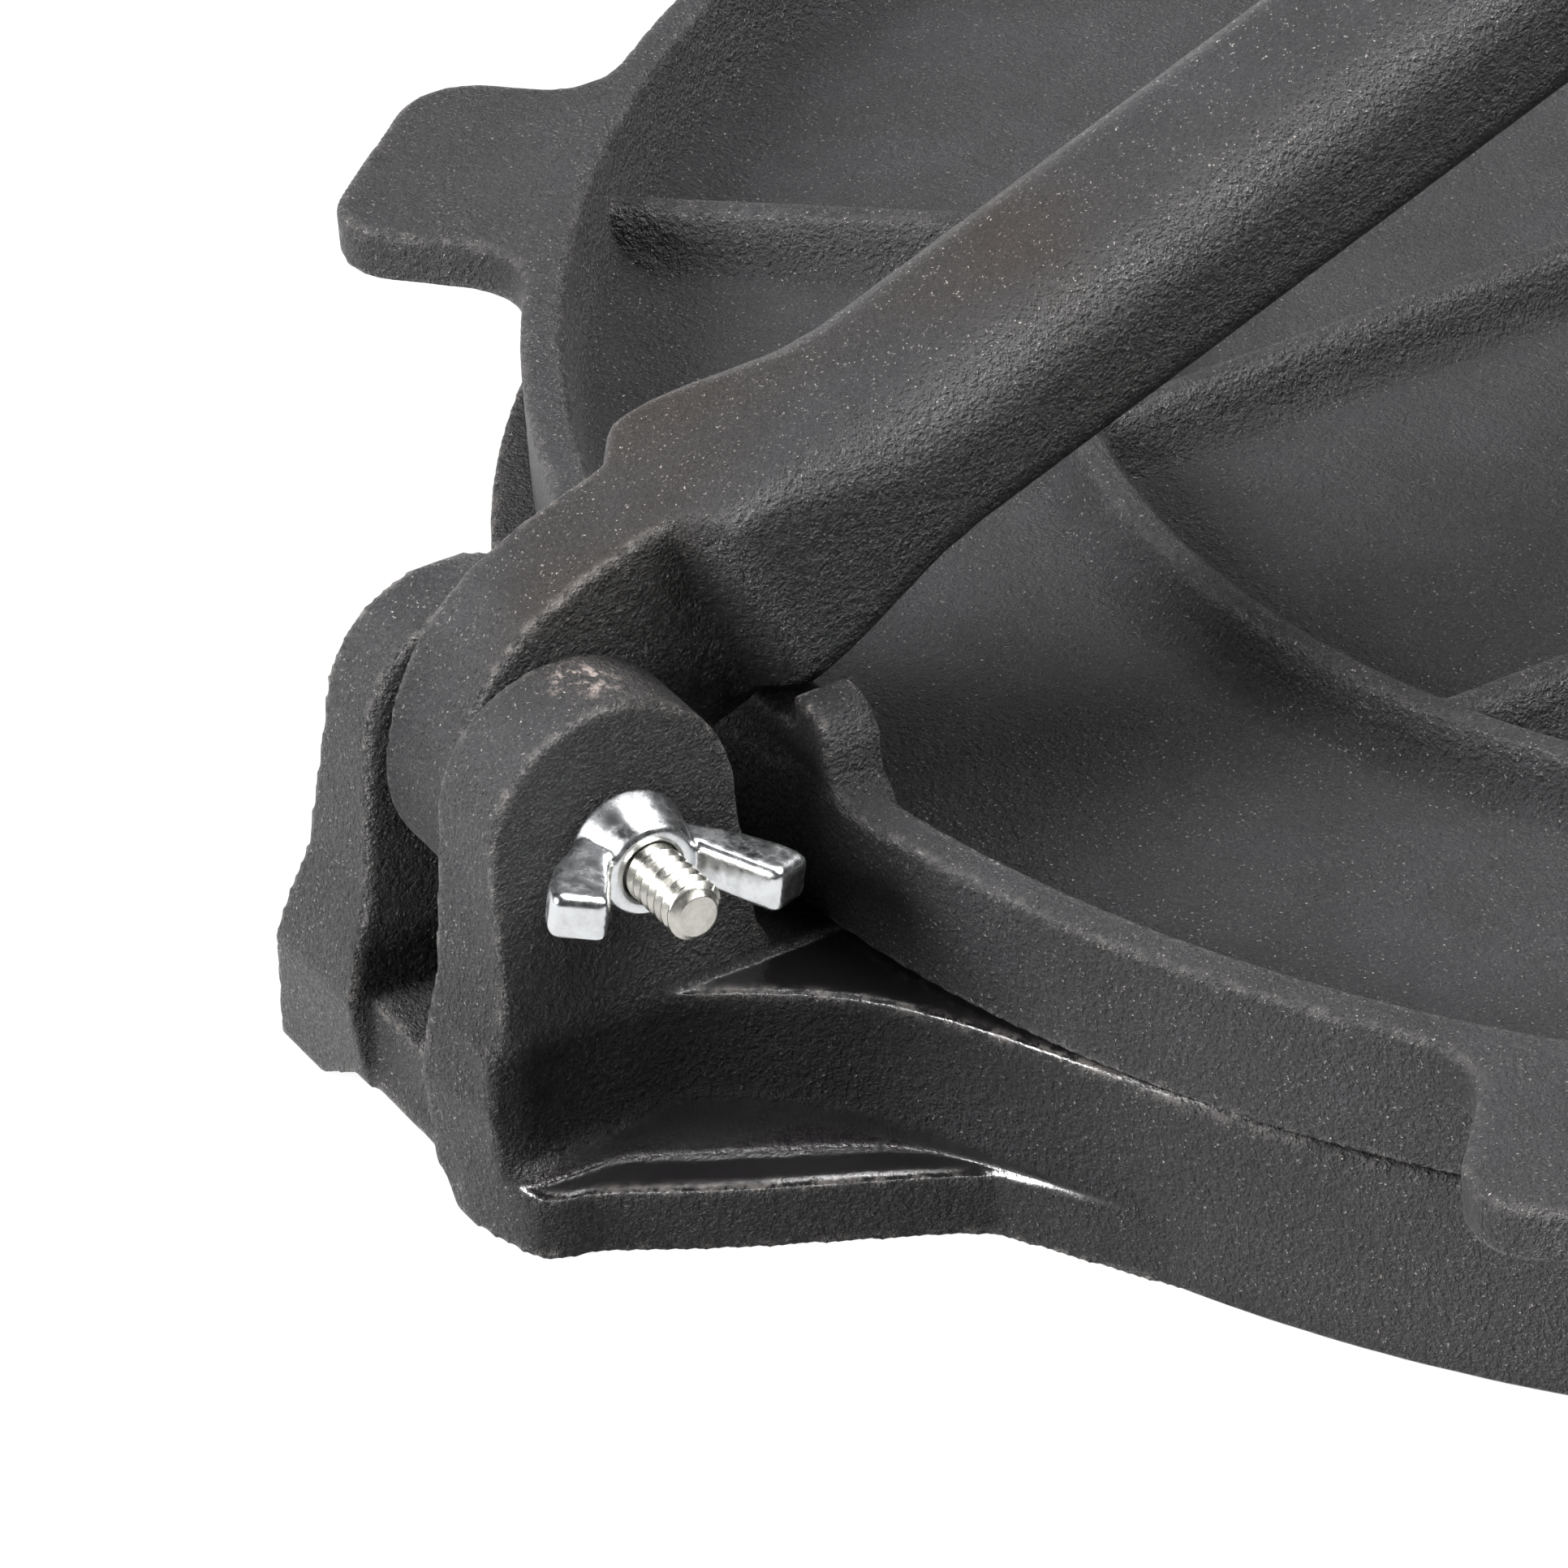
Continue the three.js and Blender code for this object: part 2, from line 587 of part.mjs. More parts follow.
// Built standing on the XZ plane with its wings along local X and its axis along local Y.
function wingNut(half, y, z, turn) {
  const hub = new THREE.LatheGeometry([
    [0, 0], [NUT_HUB_R - EDGE_R / 2, 0], [NUT_HUB_R, EDGE_R / 2],
    [NUT_TOP_R, NUT_HUB_H - EDGE_R / 2], [NUT_TOP_R - EDGE_R / 2, NUT_HUB_H], [0, NUT_HUB_H],
  ].map(([r, h]) => new THREE.Vector2(r, h)), HOLE_FACETS);
  const bore = new THREE.CylinderGeometry(
    BOLT_R + NUT_THREAD_GAP, BOLT_R + NUT_THREAD_GAP, NUT_HUB_H + 2 * CUT_OVER, HOLE_FACETS)
    .translate(0, NUT_HUB_H / 2, 0);
  const stand = new THREE.Matrix4().makeBasis(
    new THREE.Vector3(0, 1, 0), new THREE.Vector3(1, 0, 0), new THREE.Vector3(0, 0, -1));
  const nut = toGeometry(cut(join(hub, nutWing(1), nutWing(-1)), bore));
  nut.applyMatrix4(stand).rotateX(rad(turn)).translate(half + SEAT_GAP, y, z);
  return nut;
}

// Finishes and the named pieces

const iron = (shade) => new THREE.MeshStandardMaterial({ color: shade, roughness: 0.62, metalness: 0.55 });
const zinc = (shade) => new THREE.MeshStandardMaterial({ color: shade, roughness: 0.25, metalness: 1 });

function piece(name, shape, material) {
  const geometry = shape.isBufferGeometry ? shape : toGeometry(shape);
  const mesh = new THREE.Mesh(geometry, material);
  mesh.name = name;
  return mesh;
}

const press = new THREE.Group();
press.add(
  piece('base_casting', baseCasting(), iron(0x34312f)),
  piece('press_plate', pressPlate(), iron(0x3b3a3a)),
  piece('lever_handle', lever(), iron(0x38332f)),
  piece('lever_bolt', bolt(CLEVIS_HALF, PIVOT_Y, PIVOT_Z), zinc(0xc9c7c0)),
  piece('lever_wing_nut', wingNut(CLEVIS_HALF, PIVOT_Y, PIVOT_Z, NUT_TURN), zinc(0xd3d5d6)),
  piece('hinge_bolt', bolt(HINGE_HALF, HINGE_Y, HINGE_Z), zinc(0xc9c7c0)),
  piece('hinge_wing_nut', wingNut(HINGE_HALF, HINGE_Y, HINGE_Z, HINGE_NUT_TURN), zinc(0xd3d5d6)),
);
press.position.y = -(EAR_FRONT_Y + HINGE_NECK_END) / 2;

export default press;
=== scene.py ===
"""Cast-iron tortilla press: two sand-cast plates, a cam lever and zinc-plated bolts with wing nuts.

Lengths are in metres. The press stands on the floor with its lever's clevis at -Y, its plate hinge at
+Y and its wing nuts on the +X side.
"""

import json
import math

import bmesh
import bpy
from bpy.props import FloatProperty, FloatVectorProperty, PointerProperty
from mathutils import Matrix, Vector


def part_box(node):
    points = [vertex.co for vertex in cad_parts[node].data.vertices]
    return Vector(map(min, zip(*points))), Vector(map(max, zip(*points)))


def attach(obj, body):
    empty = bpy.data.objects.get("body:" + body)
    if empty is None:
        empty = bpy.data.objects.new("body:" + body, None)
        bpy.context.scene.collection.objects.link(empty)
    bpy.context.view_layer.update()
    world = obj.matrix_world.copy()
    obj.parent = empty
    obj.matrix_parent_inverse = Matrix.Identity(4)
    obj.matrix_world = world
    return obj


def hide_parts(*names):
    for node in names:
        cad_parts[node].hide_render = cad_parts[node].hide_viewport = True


bl_info = {
    "name": "Cast-Iron Tortilla Press",
    "version": (1, 0, 0),
    "blender": (4, 5, 0),
    "location": "3D View > Sidebar > Press",
    "description": "Models a cast-iron tortilla press over its jointed frame",
    "category": "Add Mesh",
}

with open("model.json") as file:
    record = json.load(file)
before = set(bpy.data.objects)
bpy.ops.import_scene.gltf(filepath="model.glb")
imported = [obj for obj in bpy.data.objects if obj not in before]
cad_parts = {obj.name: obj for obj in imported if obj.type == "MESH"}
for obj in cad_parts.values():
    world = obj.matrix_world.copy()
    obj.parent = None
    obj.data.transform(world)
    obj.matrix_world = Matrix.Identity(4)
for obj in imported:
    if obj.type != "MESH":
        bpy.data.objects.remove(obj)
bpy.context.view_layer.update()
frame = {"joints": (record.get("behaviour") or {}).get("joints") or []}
MM = 0.001
JOINTS = {joint["name"]: Vector(joint["pos_m"]) for joint in frame["joints"]}
PIVOT = JOINTS["lever_pivot"]
HINGE = JOINTS["plate_hinge"]
PLATE_LOW, PLATE_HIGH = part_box("press_plate")
BASE_LOW, BASE_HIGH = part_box("base_casting")
PLATE_R = PLATE_HIGH.x
PIVOT_REACH = 16.3 * MM
CENTRE_Y = PIVOT.y + PLATE_R + PIVOT_REACH
# Directions of the ribs outside the raised ring and under the base, in degrees
RIB_ANGLES = (42, 138, 222, 318)


def linear(hex_colour):
    """A sRGB hex colour as linear red, green and blue."""
    shares = [int(hex_colour[i : i + 2], 16) / 255 for i in (1, 3, 5)]
    return [c / 12.92 if c <= 0.04045 else ((c + 0.055) / 1.055) ** 2.4 for c in shares]


def length(name, description, default):
    return FloatProperty(
        name=name, description=description, default=default, min=0, unit="LENGTH", precision=4
    )


def place(name, description, default):
    return FloatProperty(
        name=name, description=description, default=default, unit="LENGTH", precision=4
    )


def angle(name, description, degrees):
    return FloatProperty(
        name=name, description=description, default=math.radians(degrees), subtype="ANGLE"
    )


def colour(name, description, hex_colour):
    return FloatVectorProperty(
        name=name, description=description, default=linear(hex_colour), size=3,
        subtype="COLOR", min=0, max=1,
    )


# Sizes and colours that a user would change


class PlateSizes(bpy.types.PropertyGroup):
    base_height: length("Base height", "Height of the base plate", 17.9 * MM)
    base_web: length("Base web", "Thickness of the base inside its skirt", 7 * MM)
    skirt: length("Skirt", "Thickness of the base's skirt", 5 * MM)
    plate_bottom: length("Plate bottom", "Underside of the pressing plate", 18.2 * MM)
    plate_top: length("Plate top", "Top of the pressing plate's rim", 30.2 * MM)
    floor: length("Floor", "Top of the pressing plate inside its rim", 21.3 * MM)
    rim: length("Rim", "Width of the rim's top", 3.6 * MM)
    edge: length("Edge", "Rounding of the cast edges", 0.9 * MM)
    fillet: length("Fillet", "Rounding between floor and walls", 4 * MM)
    ring_radius: length("Ring radius", "Middle of the raised ring", 82.3 * MM)
    rib_width: length("Rib width", "Width of a rib's top", 2.7 * MM)
    rib_height: length("Rib height", "Height of the ribs over the floor", 5.2 * MM)
    rib_fillet: length("Rib fillet", "Rounding at the foot of the ribs", 3.2 * MM)
    chord: length("Chord rib", "Distance of the straight ribs from the middle", 27 * MM)
    base_rib: length("Base rib", "Half width of the ribs under the base", 2.7 * MM)
    base_rib_foot: length("Base rib foot", "Height of those ribs' lower edge", 4.2 * MM)


class TabSizes(bpy.types.PropertyGroup):
    thickness: length("Thickness", "Thickness of the finger tabs", 4.9 * MM)
    width: length("Width", "Width of the finger tabs", 27 * MM)
    reach: length("Reach", "Tip of the tabs from the plate's middle", 143.2 * MM)
    tip_radius: length("Tip radius", "Corners of the tab's tip", 6.4 * MM)
    root_radius: length("Root radius", "Rounding between tab and plate", 7 * MM)
    lug_half: length("Lug", "Half width of the lug that the cam presses", 15.4 * MM)
    lug_foot: length("Lug foot", "Half width of the lug at its foot", 16.6 * MM)
    lug_height: length("Lug height", "Height of the lug's horns over the rim", 6.9 * MM)
    lug_depth: length("Lug depth", "Thickness of the lug", 5 * MM)
    saddle_half: length("Saddle", "Half width of the saddle in the lug", 10.3 * MM)
    saddle_height: length("Saddle height", "Height of the saddle over the rim", 3.9 * MM)
    tongue_radius: length("Tongue", "Radius of the rear hinge tongue", 7 * MM)
    tongue_half: length("Tongue half width", "Half width of the rear hinge tongue", 5.2 * MM)
    tongue_root: length("Tongue root", "How far the tongue runs into the rim", 6 * MM)


class ClevisSizes(bpy.types.PropertyGroup):
    half: length("Half width", "Half width of the clevis", 14.3 * MM)
    slot_half: length("Slot", "Half width of the slot for the lever", 5.55 * MM)
    slot_floor: length("Slot floor", "Height of the slot's floor", 12.3 * MM)
    ear_radius: length("Ear radius", "Radius of the rounded ear heads", 10.7 * MM)
    flange: length("Flange", "Thickness of the foot flange", 5.8 * MM)
    foot_half: length("Foot", "Half width of the foot flange by the wing nut", 19 * MM)
    far_half: length("Far foot", "Half width of the foot flange on its other side", 28.8 * MM)
    flare_half: length("Flare", "Half width where the foot meets the base", 49.5 * MM)
    neck_half: length("Neck flare", "Half width where the neck meets the base", 47 * MM)
    hole: length("Hole", "Radius of the bolt holes", 2.5 * MM)
    front: length("Front", "Front of the clevis, out from the round base", 31.4 * MM)
    root: length("Root", "Rounding between the ears and the neck", 3 * MM)
    rear_half: length("Rear half width", "Half width of the rear hinge's ears", 13 * MM)
    rear_radius: length("Rear ear radius", "Radius of the rear ears' heads", 8.2 * MM)
    rear_end: length("Rear end", "End of the rear ears, out from the round base", 21.5 * MM)


class LeverSizes(bpy.types.PropertyGroup):
    total: length("Length", "Length from the pivot to the tip", 262 * MM)
    rise: angle("Rise", "Slope of the lever over the closed plate", 20.2)
    half: length("Half width", "Half width of the arm", 9.6 * MM)
    top: length("Top", "Top of the arm over the pivot's line", 13.2 * MM)
    bottom: place("Bottom", "Bottom of the arm over the pivot's line", -0.85 * MM)
    barrel: length("Barrel", "Radius of the barrel round the bolt", 10.3 * MM)
    barrel_half: length("Barrel half width", "Half width of the barrel", 5.2 * MM)
    cam_bottom: place("Cam", "Lowest point of the cam", -3.7 * MM)
    cam_top: length("Cam top", "Top of the arm beside the barrel", 15.6 * MM)


class BoltSizes(bpy.types.PropertyGroup):
    radius: length("Radius", "Outer radius of the thread", 2.4 * MM)
    pitch: length("Pitch", "Distance between the thread's crests", 1.06 * MM)
    thread_depth: length("Thread depth", "Depth of the thread", 0.42 * MM)
    reach: length("Reach", "End of the bolt past the clevis", 11.7 * MM)
    head_width: length("Head width", "Width of the hexagon head across its flats", 8 * MM)
    head_height: length("Head height", "Height of the hexagon head", 3.4 * MM)
    hub: length("Nut hub", "Radius of the wing nut's hub", 5 * MM)
    hub_top: length("Nut top", "Radius of the hub's outer end", 3.8 * MM)
    hub_height: length("Hub height", "Height of the wing nut's hub", 4.6 * MM)
    wing_reach: length("Wing reach", "Tip of a wing from the bolt's axis", 11.2 * MM)
    wing_rise: length("Wing rise", "Outer end of a wing from the clevis", 10.8 * MM)
    wing: length("Wing", "Thickness of a wing", 3.7 * MM)
    lever_nut_turn: angle("Lever nut's turn", "How far the lever's wing nut is turned", -12)
    hinge_nut_turn: angle("Hinge nut's turn", "How far the hinge's wing nut is turned", 44)


class Finishes(bpy.types.PropertyGroup):
    iron: colour("Iron", "Seasoned iron in the open", "#343436")
    iron_dark: colour("Dark iron", "Darker patches of the seasoning", "#2b2b2c")
    iron_brown: colour("Brown iron", "Brownish patches of the seasoning", "#30271f")
    # Oil in the pools, also the colour of the painted shade in hollows and on the walls by the pools
    oil_and_painted_shade: colour("Oil", "Oil standing in the hollows", "#0e0d0e")
    # Pale of rubbed edges and chips, and also the colour of the painted glints
    worn: colour("Worn iron", "Rubbed edges", "#a09a95")
    rust: colour("Rust", "Small rust spots", "#6b4026")
    rubbed: colour("Rubbed iron", "Pinkish rubbed patch on the lever", "#5a4a46")
    chip: colour("Chip", "Pale chips in the seasoning", "#b0a29c")
    zinc: colour("Zinc", "Bright zinc plating", "#d9dbdd")
    zinc_thread: colour("Thread zinc", "Zinc on the rolled thread", "#c6c4bc")
    floor: colour("Floor", "Studio floor", "#404040")


# Shared modelling steps


def arc(centre, radius, start, end, steps=8):
    """Points on an arc of a flat outline, from one angle in degrees to another."""
    points = []
    for i in range(steps + 1):
        turn = math.radians(start + (end - start) * i / steps)
        points.append((centre[0] + radius * math.cos(turn), centre[1] + radius * math.sin(turn)))
    return points


def add_loop(bm, points):
    """A closed loop of new vertices and edges through points."""
    verts = [bm.verts.new(p) for p in points]
    edges = [bm.edges.new((verts[i - 1], verts[i])) for i in range(len(verts))]
    return verts, edges


def add_prism(bm, outline, to_space, depth):
    """An outline filled and drawn out along depth, with any holes in it kept open: all its corners."""
    loops = outline if isinstance(outline[0], list) else [outline]
    edges = []
    for points in loops:
        edges += add_loop(bm, [to_space(a, b) for a, b in points])[1]
    flat = bmesh.ops.triangle_fill(bm, edges=edges, use_beauty=True)["geom"]
    faces = [item for item in flat if isinstance(item, bmesh.types.BMFace)]
    drawn = bmesh.ops.extrude_face_region(bm, geom=faces)["geom"]
    far = [item for item in drawn if isinstance(item, bmesh.types.BMVert)]
    bmesh.ops.translate(bm, verts=far, vec=depth)
    return list({v for face in faces for v in face.verts} | set(far))


def add_prism_x(bm, outline, low, high):
    return add_prism(bm, outline, lambda y, z: (low, y, z), (high - low, 0, 0))


def add_prism_y(bm, outline, low, high):
    return add_prism(bm, outline, lambda x, z: (x, low, z), (0, high - low, 0))


def add_prism_z(bm, outline, low, high):
    return add_prism(bm, outline, lambda x, y: (x, y, low), (0, 0, high - low))


def bolt_hole(centre, radius):
    return arc(centre, radius, 0, 345, 23)


def add_lathe(bm, section, steps, axis="Z", centre=(0, 0, 0)):
    """A closed section of (radius, height) points spun once round an axis."""
    if axis == "Z":
        points = [Vector((r, 0, h)) for r, h in section]
        line = (0, 0, 1)
    else:
        points = [Vector((h, r, 0)) for r, h in section]
        line = (1, 0, 0)
    verts, edges = add_loop(bm, [p + Vector(centre) for p in points])
    bmesh.ops.spin(
        bm, geom=verts + edges, cent=centre, axis=line, angle=math.tau, steps=steps, use_merge=True
    )


def add_loft(bm, rings):
    """A skin over rings of points, closed with a face at each end."""
    loops = [add_loop(bm, ring) for ring in rings]
    for near, far in zip(loops, loops[1:]):
        bmesh.ops.bridge_loops(bm, edges=near[1] + far[1])
    for _, edges in (loops[0], loops[-1]):
        bmesh.ops.edgeloop_fill(bm, edges=edges)


def turn(bm, verts, angle, axis, centre):
    bmesh.ops.rotate(bm, verts=verts, cent=centre, matrix=Matrix.Rotation(angle, 3, axis))


def tidy(bm, gap=0.002 * MM):
    bmesh.ops.remove_doubles(bm, verts=bm.verts[:], dist=gap)
    bmesh.ops.recalc_face_normals(bm, faces=bm.faces[:])


def cloud(name, size, depth=2):
    texture = bpy.data.textures.new(name, "CLOUDS")
    texture.noise_scale = size
    texture.noise_depth = depth
    return texture


def make_piece(name, bm, body, nodes, material, modifiers=(), shift=CENTRE_Y):
    """The finished piece, its modifiers applied and its object at the origin."""
    tidy(bm)
    bmesh.ops.translate(bm, verts=bm.verts[:], vec=(0, shift, 0))
    rough = bpy.data.meshes.new(name)
    bm.to_mesh(rough)
    bm.free()
    piece = bpy.data.objects.new(name, rough)
    bpy.context.scene.collection.objects.link(piece)
    for kind, settings in modifiers:
        modifier = piece.modifiers.new(kind.title(), kind)
        for key, value in settings.items():
            setattr(modifier, key, value)
    if modifiers:
        bpy.context.view_layer.update()
        graph = bpy.context.evaluated_depsgraph_get()
        done = bpy.data.meshes.new_from_object(piece.evaluated_get(graph))
        piece.modifiers.clear()
        piece.data = done
        done.name = name
        bpy.data.meshes.remove(rough)
    piece.data.materials.clear()
    piece.data.materials.append(material)
    piece.data.shade_smooth()
    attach(piece, body)
    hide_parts(*nodes)
    return piece


def cast_skin(voxel, rounds, grain=0.07 * MM):
    """Melts joined shells into one casting, softens its edges and roughens it as sand does."""
    return [
        ("REMESH", {"mode": "VOXEL", "voxel_size": voxel, "use_smooth_shade": True}),
        ("SMOOTH", {"factor": 0.5, "iterations": rounds}),
        ("DISPLACE", {
            "texture": cloud("Sand grain", 1.2 * MM), "texture_coords": "LOCAL",
            "strength": grain, "mid_level": 0.5,
        }),
    ]


def ease(low, high, value):
    share = max(0.0, min(1.0, (value - low) / (high - low)))
    return share * share * (3 - 2 * share)


# Materials


def add_node(tree, kind, inputs=None, **settings):
    """A node with its settings, and its inputs set or linked."""
    node = tree.nodes.new(kind)
    for key, value in settings.items():
        setattr(node, key, value)
    for key, value in (inputs or {}).items():
        if isinstance(value, bpy.types.NodeSocket):
            tree.links.new(value, node.inputs[key])
        else:
            node.inputs[key].default_value = value
    return node


def new_material(name):
    material = bpy.data.materials.new(name)
    material.use_nodes = True
    tree = material.node_tree
    tree.nodes.clear()
    return material, tree


def ramp(tree, factor, stops):
    """A value turned to colours or shares by a few stops."""
    node = add_node(tree, "ShaderNodeValToRGB", {"Fac": factor})
    elements = node.color_ramp.elements
    while len(elements) < len(stops):
        elements.new(0.5)
    for element, (position, shade) in zip(elements, stops):
        element.position = position
        element.color = (*shade, 1) if len(shade) == 3 else shade
    return node.outputs["Color"]


def grey(share):
    return (share, share, share)


def mix(tree, factor, one, other, blend="MIX"):
    node = add_node(
        tree, "ShaderNodeMix", {0: factor, 6: one, 7: other}, data_type="RGBA", blend_type=blend
    )
    return node.outputs[2]


def rgba(shade):
    return (*shade, 1)


def product(tree, one, other):
    return add_node(tree, "ShaderNodeMath", {0: one, 1: other}, operation="MULTIPLY").outputs[0]


def scaled(tree, value, slope, start=0.0):
    """A value times a slope, plus a start."""
    return add_node(tree, "ShaderNodeMath", {0: value, 1: slope, 2: start},
                    operation="MULTIPLY_ADD").outputs[0]


def noise_at(tree, coordinates, grain, detail=2.0, roughness=0.5):
    """Noise whose features are about one grain across."""
    return add_node(tree, "ShaderNodeTexNoise", {
        "Vector": coordinates, "Scale": 1 / grain, "Detail": detail, "Roughness": roughness,
    }).outputs["Fac"]


# Oil stands in the hollows in front of OIL_START, and so does the painted shade on the walls by it;
# their height ramps run over OIL_SPAN
OIL_START = -104 * MM
OIL_SPAN = 20 * MM


def oil_pool_and_shade_masks(tree, place_of, oil_and_shade_strength):
    """Where the oil stands: glossy pools and their still parts; and painted shade on the +X-facing walls
    low down by them.
    """
    normal = add_node(tree, "ShaderNodeNewGeometry").outputs["Normal"]
    facing = add_node(tree, "ShaderNodeSeparateXYZ", {0: normal}).outputs
    spot = add_node(tree, "ShaderNodeSeparateXYZ", {0: place_of}).outputs
    height = scaled(tree, spot["Z"], 1 / OIL_SPAN)
    levels = ramp(tree, height, [
        (0.25, grey(0)), (0.28, grey(oil_and_shade_strength)), (0.42, grey(oil_and_shade_strength)), (0.52, grey(0)),
        (0.86, grey(0)), (0.885, grey(oil_and_shade_strength)), (0.91, grey(oil_and_shade_strength)), (0.95, grey(0)),
    ])
    front = ramp(tree, scaled(tree, spot["Y"], -1 / OIL_SPAN, OIL_START / OIL_SPAN),
                 [(0, grey(0)), (0.6, grey(1))])
    side = ramp(tree, scaled(tree, spot["X"], 1 / OIL_SPAN), [(0.72, grey(0)), (0.78, grey(1))])
    flat = ramp(tree, facing["Z"], [(0.25, grey(0)), (0.6, grey(1))])
    pools = product(tree, product(tree, levels, front), product(tree, side, flat))
    still = product(tree, pools, ramp(tree, height, [
        (0.302, grey(1)), (0.318, grey(0)), (0.8, grey(0)), (0.86, grey(1)),
    ]))
    # Painted shade: +X-facing walls below the neck's top, in front, darkened towards the oil colour
    low = ramp(tree, height, [(0.8, grey(0.62 * oil_and_shade_strength)), (0.95, grey(0))])
    wall = ramp(tree, facing["X"], [(0.2, grey(0)), (0.7, grey(1))])
    return pools, still, product(tree, product(tree, low, front), wall)


def seasoned_cast_iron(name, brown=0.3, oil_and_shade_strength=0.0, spots=()):
    """Sand-cast grey iron, seasoned black: a pebbled skin with painted glints (pale specks in the base
    colour), rubbed pale edges, faint brown patches, glossy black oil in pools on the flange and the
    neck's top, and painted shade in the hollows and on the walls by the pools."""
    finish = bpy.context.scene.press_finishes
    material, tree = new_material(name)
    place_of = add_node(tree, "ShaderNodeTexCoord").outputs["Object"]
    sand = noise_at(tree, place_of, 0.28 * MM, 3.0, 0.65)
    pebbles = noise_at(tree, place_of, 0.62 * MM, 4.0, 0.65)
    patches = noise_at(tree, place_of, 9 * MM, 3.0, 0.6)
    cloudy = noise_at(tree, place_of, 28 * MM, 2.0)
    thin = add_node(tree, "ShaderNodeAmbientOcclusion", {"Distance": 1.3 * MM}, samples=6,
                    inside=True, only_local=True)
    edges = ramp(tree, thin.outputs["AO"], [(0.55, grey(1)), (0.85, grey(0))])
    chips = ramp(tree, noise_at(tree, place_of, 1.3 * MM, 4.0, 0.7),
                 [(0.45, grey(0)), (0.58, grey(0.9))])
    worn = product(tree, edges, chips)
    shade = mix(tree, ramp(tree, patches, [(0.35, grey(0.3)), (0.65, grey(1))]),
                rgba(finish.iron_dark), rgba(finish.iron))
    browned = ramp(tree, cloudy, [(0.45, grey(0)), (0.8, grey(brown * 2))])
    shade = mix(tree, browned, shade, rgba(finish.iron_brown))
    pits = ramp(tree, sand, [(0.36, grey(0.35)), (0.47, grey(1))])
    shade = mix(tree, 1.0, shade, pits, "MULTIPLY")
    # Painted glints: pale specks in the base colour stand in for the iron's specular sparkle
    painted_glints = ramp(tree, sand, [(0.63, grey(0)), (0.69, grey(1))])
    shade = mix(tree, painted_glints, shade, rgba(finish.worn))
    hollow = add_node(tree, "ShaderNodeAmbientOcclusion", {"Distance": 13 * MM}, samples=8)
    pools, still, painted_wall_shade = oil_pool_and_shade_masks(tree, place_of, oil_and_shade_strength)
    # Painted shade: ambient occlusion darkens hollows, the feet of walls and places under other parts
    painted_hollow_shade = ramp(tree, hollow.outputs["AO"], [(0.3, grey(1)), (0.58, grey(0))])
    shade = mix(tree, painted_hollow_shade, shade, rgba(finish.oil_and_painted_shade))
    # Painted shade on the +X-facing walls by the pools
    shade = mix(tree, painted_wall_shade, shade, rgba(finish.oil_and_painted_shade))
    shade = mix(tree, pools, shade, rgba(finish.oil_and_painted_shade))
    shade = mix(tree, worn, shade, rgba(finish.worn))
    for tint, centre, radius in spots:
        away = add_node(tree, "ShaderNodeVectorMath", {0: place_of, 1: centre}, operation="DISTANCE")
        near = ramp(tree, scaled(tree, away.outputs["Value"], 1 / radius),
                    [(0.35, grey(1)), (1, grey(0))])
        flakes = ramp(tree, noise_at(tree, place_of, 1.7 * MM, 5.0, 0.75),
                      [(0.5, grey(0)), (0.58, grey(1))])
        shade = mix(tree, product(tree, near, flakes), shade, rgba(tint))
    dry = ramp(tree, sand, [(0.4, grey(0.5)), (0.62, grey(0.24))])
    rough = mix(tree, pools, dry, rgba(grey(0.17)))
    bump = add_node(tree, "ShaderNodeBump", {
        "Height": scaled(tree, pebbles, 1.8, sand), "Distance": 1.1 * MM,
        "Strength": scaled(tree, still, -0.92, 1.0),
    }).outputs["Normal"]
    skin = add_node(tree, "ShaderNodeBsdfPrincipled", {
        "Base Color": shade, "Roughness": rough, "Normal": bump,
        "Specular IOR Level": scaled(tree, pools, 0.6, scaled(tree, painted_wall_shade, -0.4, 0.4)),
    })
    add_node(tree, "ShaderNodeOutputMaterial", {"Surface": skin.outputs[0]})
    return material


def zinc_plate(name, shade, roughness):
    """Bright zinc plating on steel: a near mirror with faint handling marks."""
    material, tree = new_material(name)
    place_of = add_node(tree, "ShaderNodeTexCoord").outputs["Object"]
    scuffs = noise_at(tree, place_of, 1.2 * MM, 5.0, 0.7)
    rough = ramp(tree, scuffs, [(0.35, grey(roughness * 0.7)), (0.7, grey(roughness * 1.6))])
    tone = mix(tree, ramp(tree, scuffs, [(0.4, grey(0)), (0.72, grey(1))]),
               rgba(shade), rgba([c * 0.82 for c in shade]))
    bump = add_node(tree, "ShaderNodeBump", {
        "Height": noise_at(tree, place_of, 2.6 * MM, 2.0), "Distance": 0.06 * MM, "Strength": 0.5,
    }).outputs["Normal"]
    skin = add_node(tree, "ShaderNodeBsdfPrincipled", {
        "Base Color": tone, "Roughness": rough, "Normal": bump, "Metallic": 1.0,
    })
    add_node(tree, "ShaderNodeOutputMaterial", {"Surface": skin.outputs[0]})
    return material


def material_named(name, maker, *settings):
    return bpy.data.materials.get(name) or maker(name, *settings)


def base_iron():
    chip = (bpy.context.scene.press_finishes.chip, PIVOT + Vector((9.6, 0.2, 11.2)) * MM, 3.4 * MM)
    return material_named("Seasoned cast iron, base", seasoned_cast_iron, 0.25, 1.0, [chip])


def plate_iron():
    return material_named("Seasoned cast iron, plate", seasoned_cast_iron, 0.06)


def lever_iron():
    finish = bpy.context.scene.press_finishes
    rust = (finish.rust, PIVOT + Vector((-1.5, 2, 13.8)) * MM, 2.6 * MM)
    rubbed = (finish.rubbed, PIVOT + Vector((-1.5, 0.6, 11.8)) * MM, 3.8 * MM)
    return material_named("Seasoned cast iron, lever", seasoned_cast_iron, 0.4, 0.0, [rust, rubbed])


# Pieces


